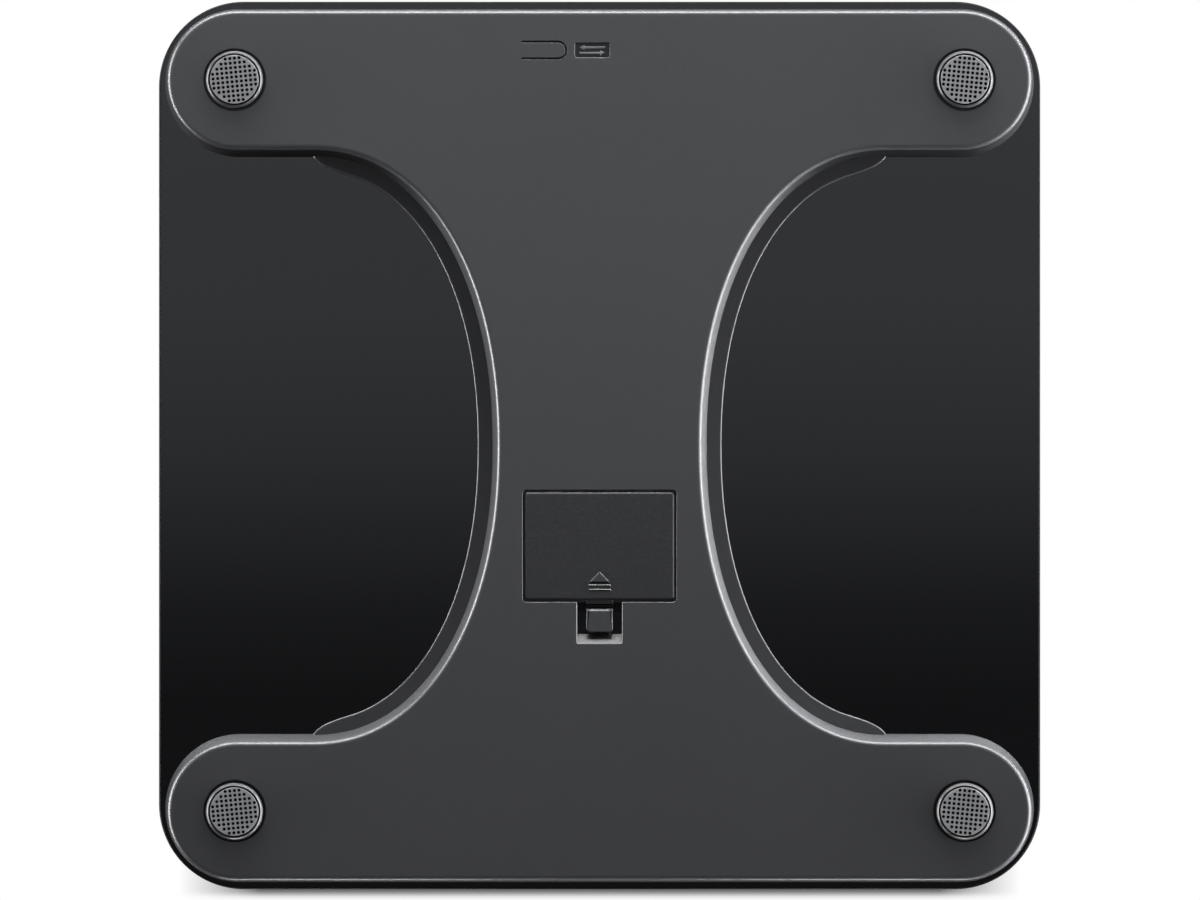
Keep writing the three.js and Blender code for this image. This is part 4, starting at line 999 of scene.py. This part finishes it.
# a mesh of the surroundings, marked as stage and hidden from some rays
def stagePiece(name, points, material, hidden, faces=((0, 1, 2, 3),)):
    mesh = bpy.data.meshes.new(name)
    mesh.from_pydata(points.tolist(), [], faces)
    mesh.materials.append(material)
    made = addObject(name, mesh)
    hideFrom(made, *hidden)


# white for camera and transmission rays, a grey for gloss rays, an even dim level for the rest
def makeWorld():
    world = bpy.data.worlds.new("surroundings")
    bpy.context.scene.world = world
    sheet = Sheet(world)
    seen, glossy, through = (sheet.node("LightPath", out="Is %s Ray" % ray)
                             for ray in ("Camera", "Glossy", "Transmission"))
    dim = light["ambient"]
    level = dim + seen.larger(through) * (light["white"] - dim) + glossy * (light["gloss"] - dim)
    sheet.close(sheet.node("Background", values={"Color": opaque(white), "Strength": level}), "OutputWorld")


# pale seen from above, and white past the reach of the lamps; from below it isn't there
def makeFloor():
    sheet = Sheet(bpy.data.materials.new("floor_pale"))
    away = sheet.node("VectorMath", {"operation": "LENGTH"}, {0: sheet.place()}, out="Value")
    matte = sheet.node("BsdfDiffuse", values={"Color": opaque(light["floor"])})
    share = away.rising(light["fadeStart"], light["fadeWide"])
    ground = sheet.node("MixShader", values={0: share, 1: matte, 2: sheet.glow(white)})
    floor = sheet.close(sheet.twoFaced(ground, sheet.node("BsdfTransparent")))
    floor.cycles.emission_sampling = "NONE"  # it is seen, but lights nothing
    plane = atHeight(square(light["floorHalf"]), light["floorZ"])
    stagePiece("floor", plane, floor, ("shadow", "glossy", "diffuse"))


# a painted soft shadow past the heel edge of the glass, seen by the camera from below only
def makeContactShade():
    sheet = Sheet(bpy.data.materials.new("painted_contact_shadow"))
    place = sheet.place()
    x, y = (sheet.axis(place, letter) for letter in "XY")
    edgeY, wide, half, fade = (light["shade" + part] for part in ("Y", "Wide", "Half", "Fade"))
    stops = [(at, (tone, tone, tone)) for at, tone in light["shade"]]
    tone = sheet.node("ValToRGB", {"stops": stops}, {0: (y - edgeY) * (-1 / wide)})
    side = (x.absolute() - half) * (1 / fade)
    glow = sheet.glow(sheet.blend(side, tone, white))
    shade = sheet.close(sheet.twoFaced(sheet.node("BsdfTransparent"), glow))
    deep = wide + light["shadeUnder"]
    patch = rectangle(2 * (half + fade), deep, 0, edgeY + light["shadeUnder"] - deep / 2)
    unseen = ("shadow", "glossy", "diffuse", "transmission")
    stagePiece("contact_shade", atHeight(patch, light["lidZ"]), shade, unseen)


# seen by gloss rays only: a card under the scale, bright at its toe side, and dim screens round and over it
def makeReflections():
    unseen = ("camera", "diffuse", "shadow", "transmission")
    sheet = Sheet(bpy.data.materials.new("card_glow"))
    along = sheet.axis(sheet.place(), "Y") * light["cardRate"] + light["cardMiddle"]
    stops = [(at, tuple(tone * share for share in light["cardTint"])) for at, tone in light["card"]]
    card = sheet.close(sheet.glow(sheet.node("ValToRGB", {"stops": stops}, {0: along})))
    stagePiece("gloss_card", atHeight(square(light["cardHalf"]), light["cardZ"]), card, unseen)
    sheet = Sheet(bpy.data.materials.new("flag_grey"))
    flag = sheet.close(sheet.glow(light["flag"]))
    away = square(light["flagAway"])
    band = [(i, (i + 1) % 4, (i + 1) % 4 + 4, i + 4) for i in range(4)]
    stagePiece("flags", np.concatenate([atHeight(away, z) for z in light["flagZ"]]), flag, unseen, band)
    lid = np.concatenate([rectangle(*light["lidHole"]), away])
    stagePiece("lid", atHeight(lid, light["lidZ"]), flag, unseen, band)


for name, values in lamps.items():
    areaLamp(name, *values)
makeWorld()
makeFloor()
makeContactShade()
makeReflections()
bpy.context.scene.view_settings.view_transform = "Standard"
print("lights and floor made")
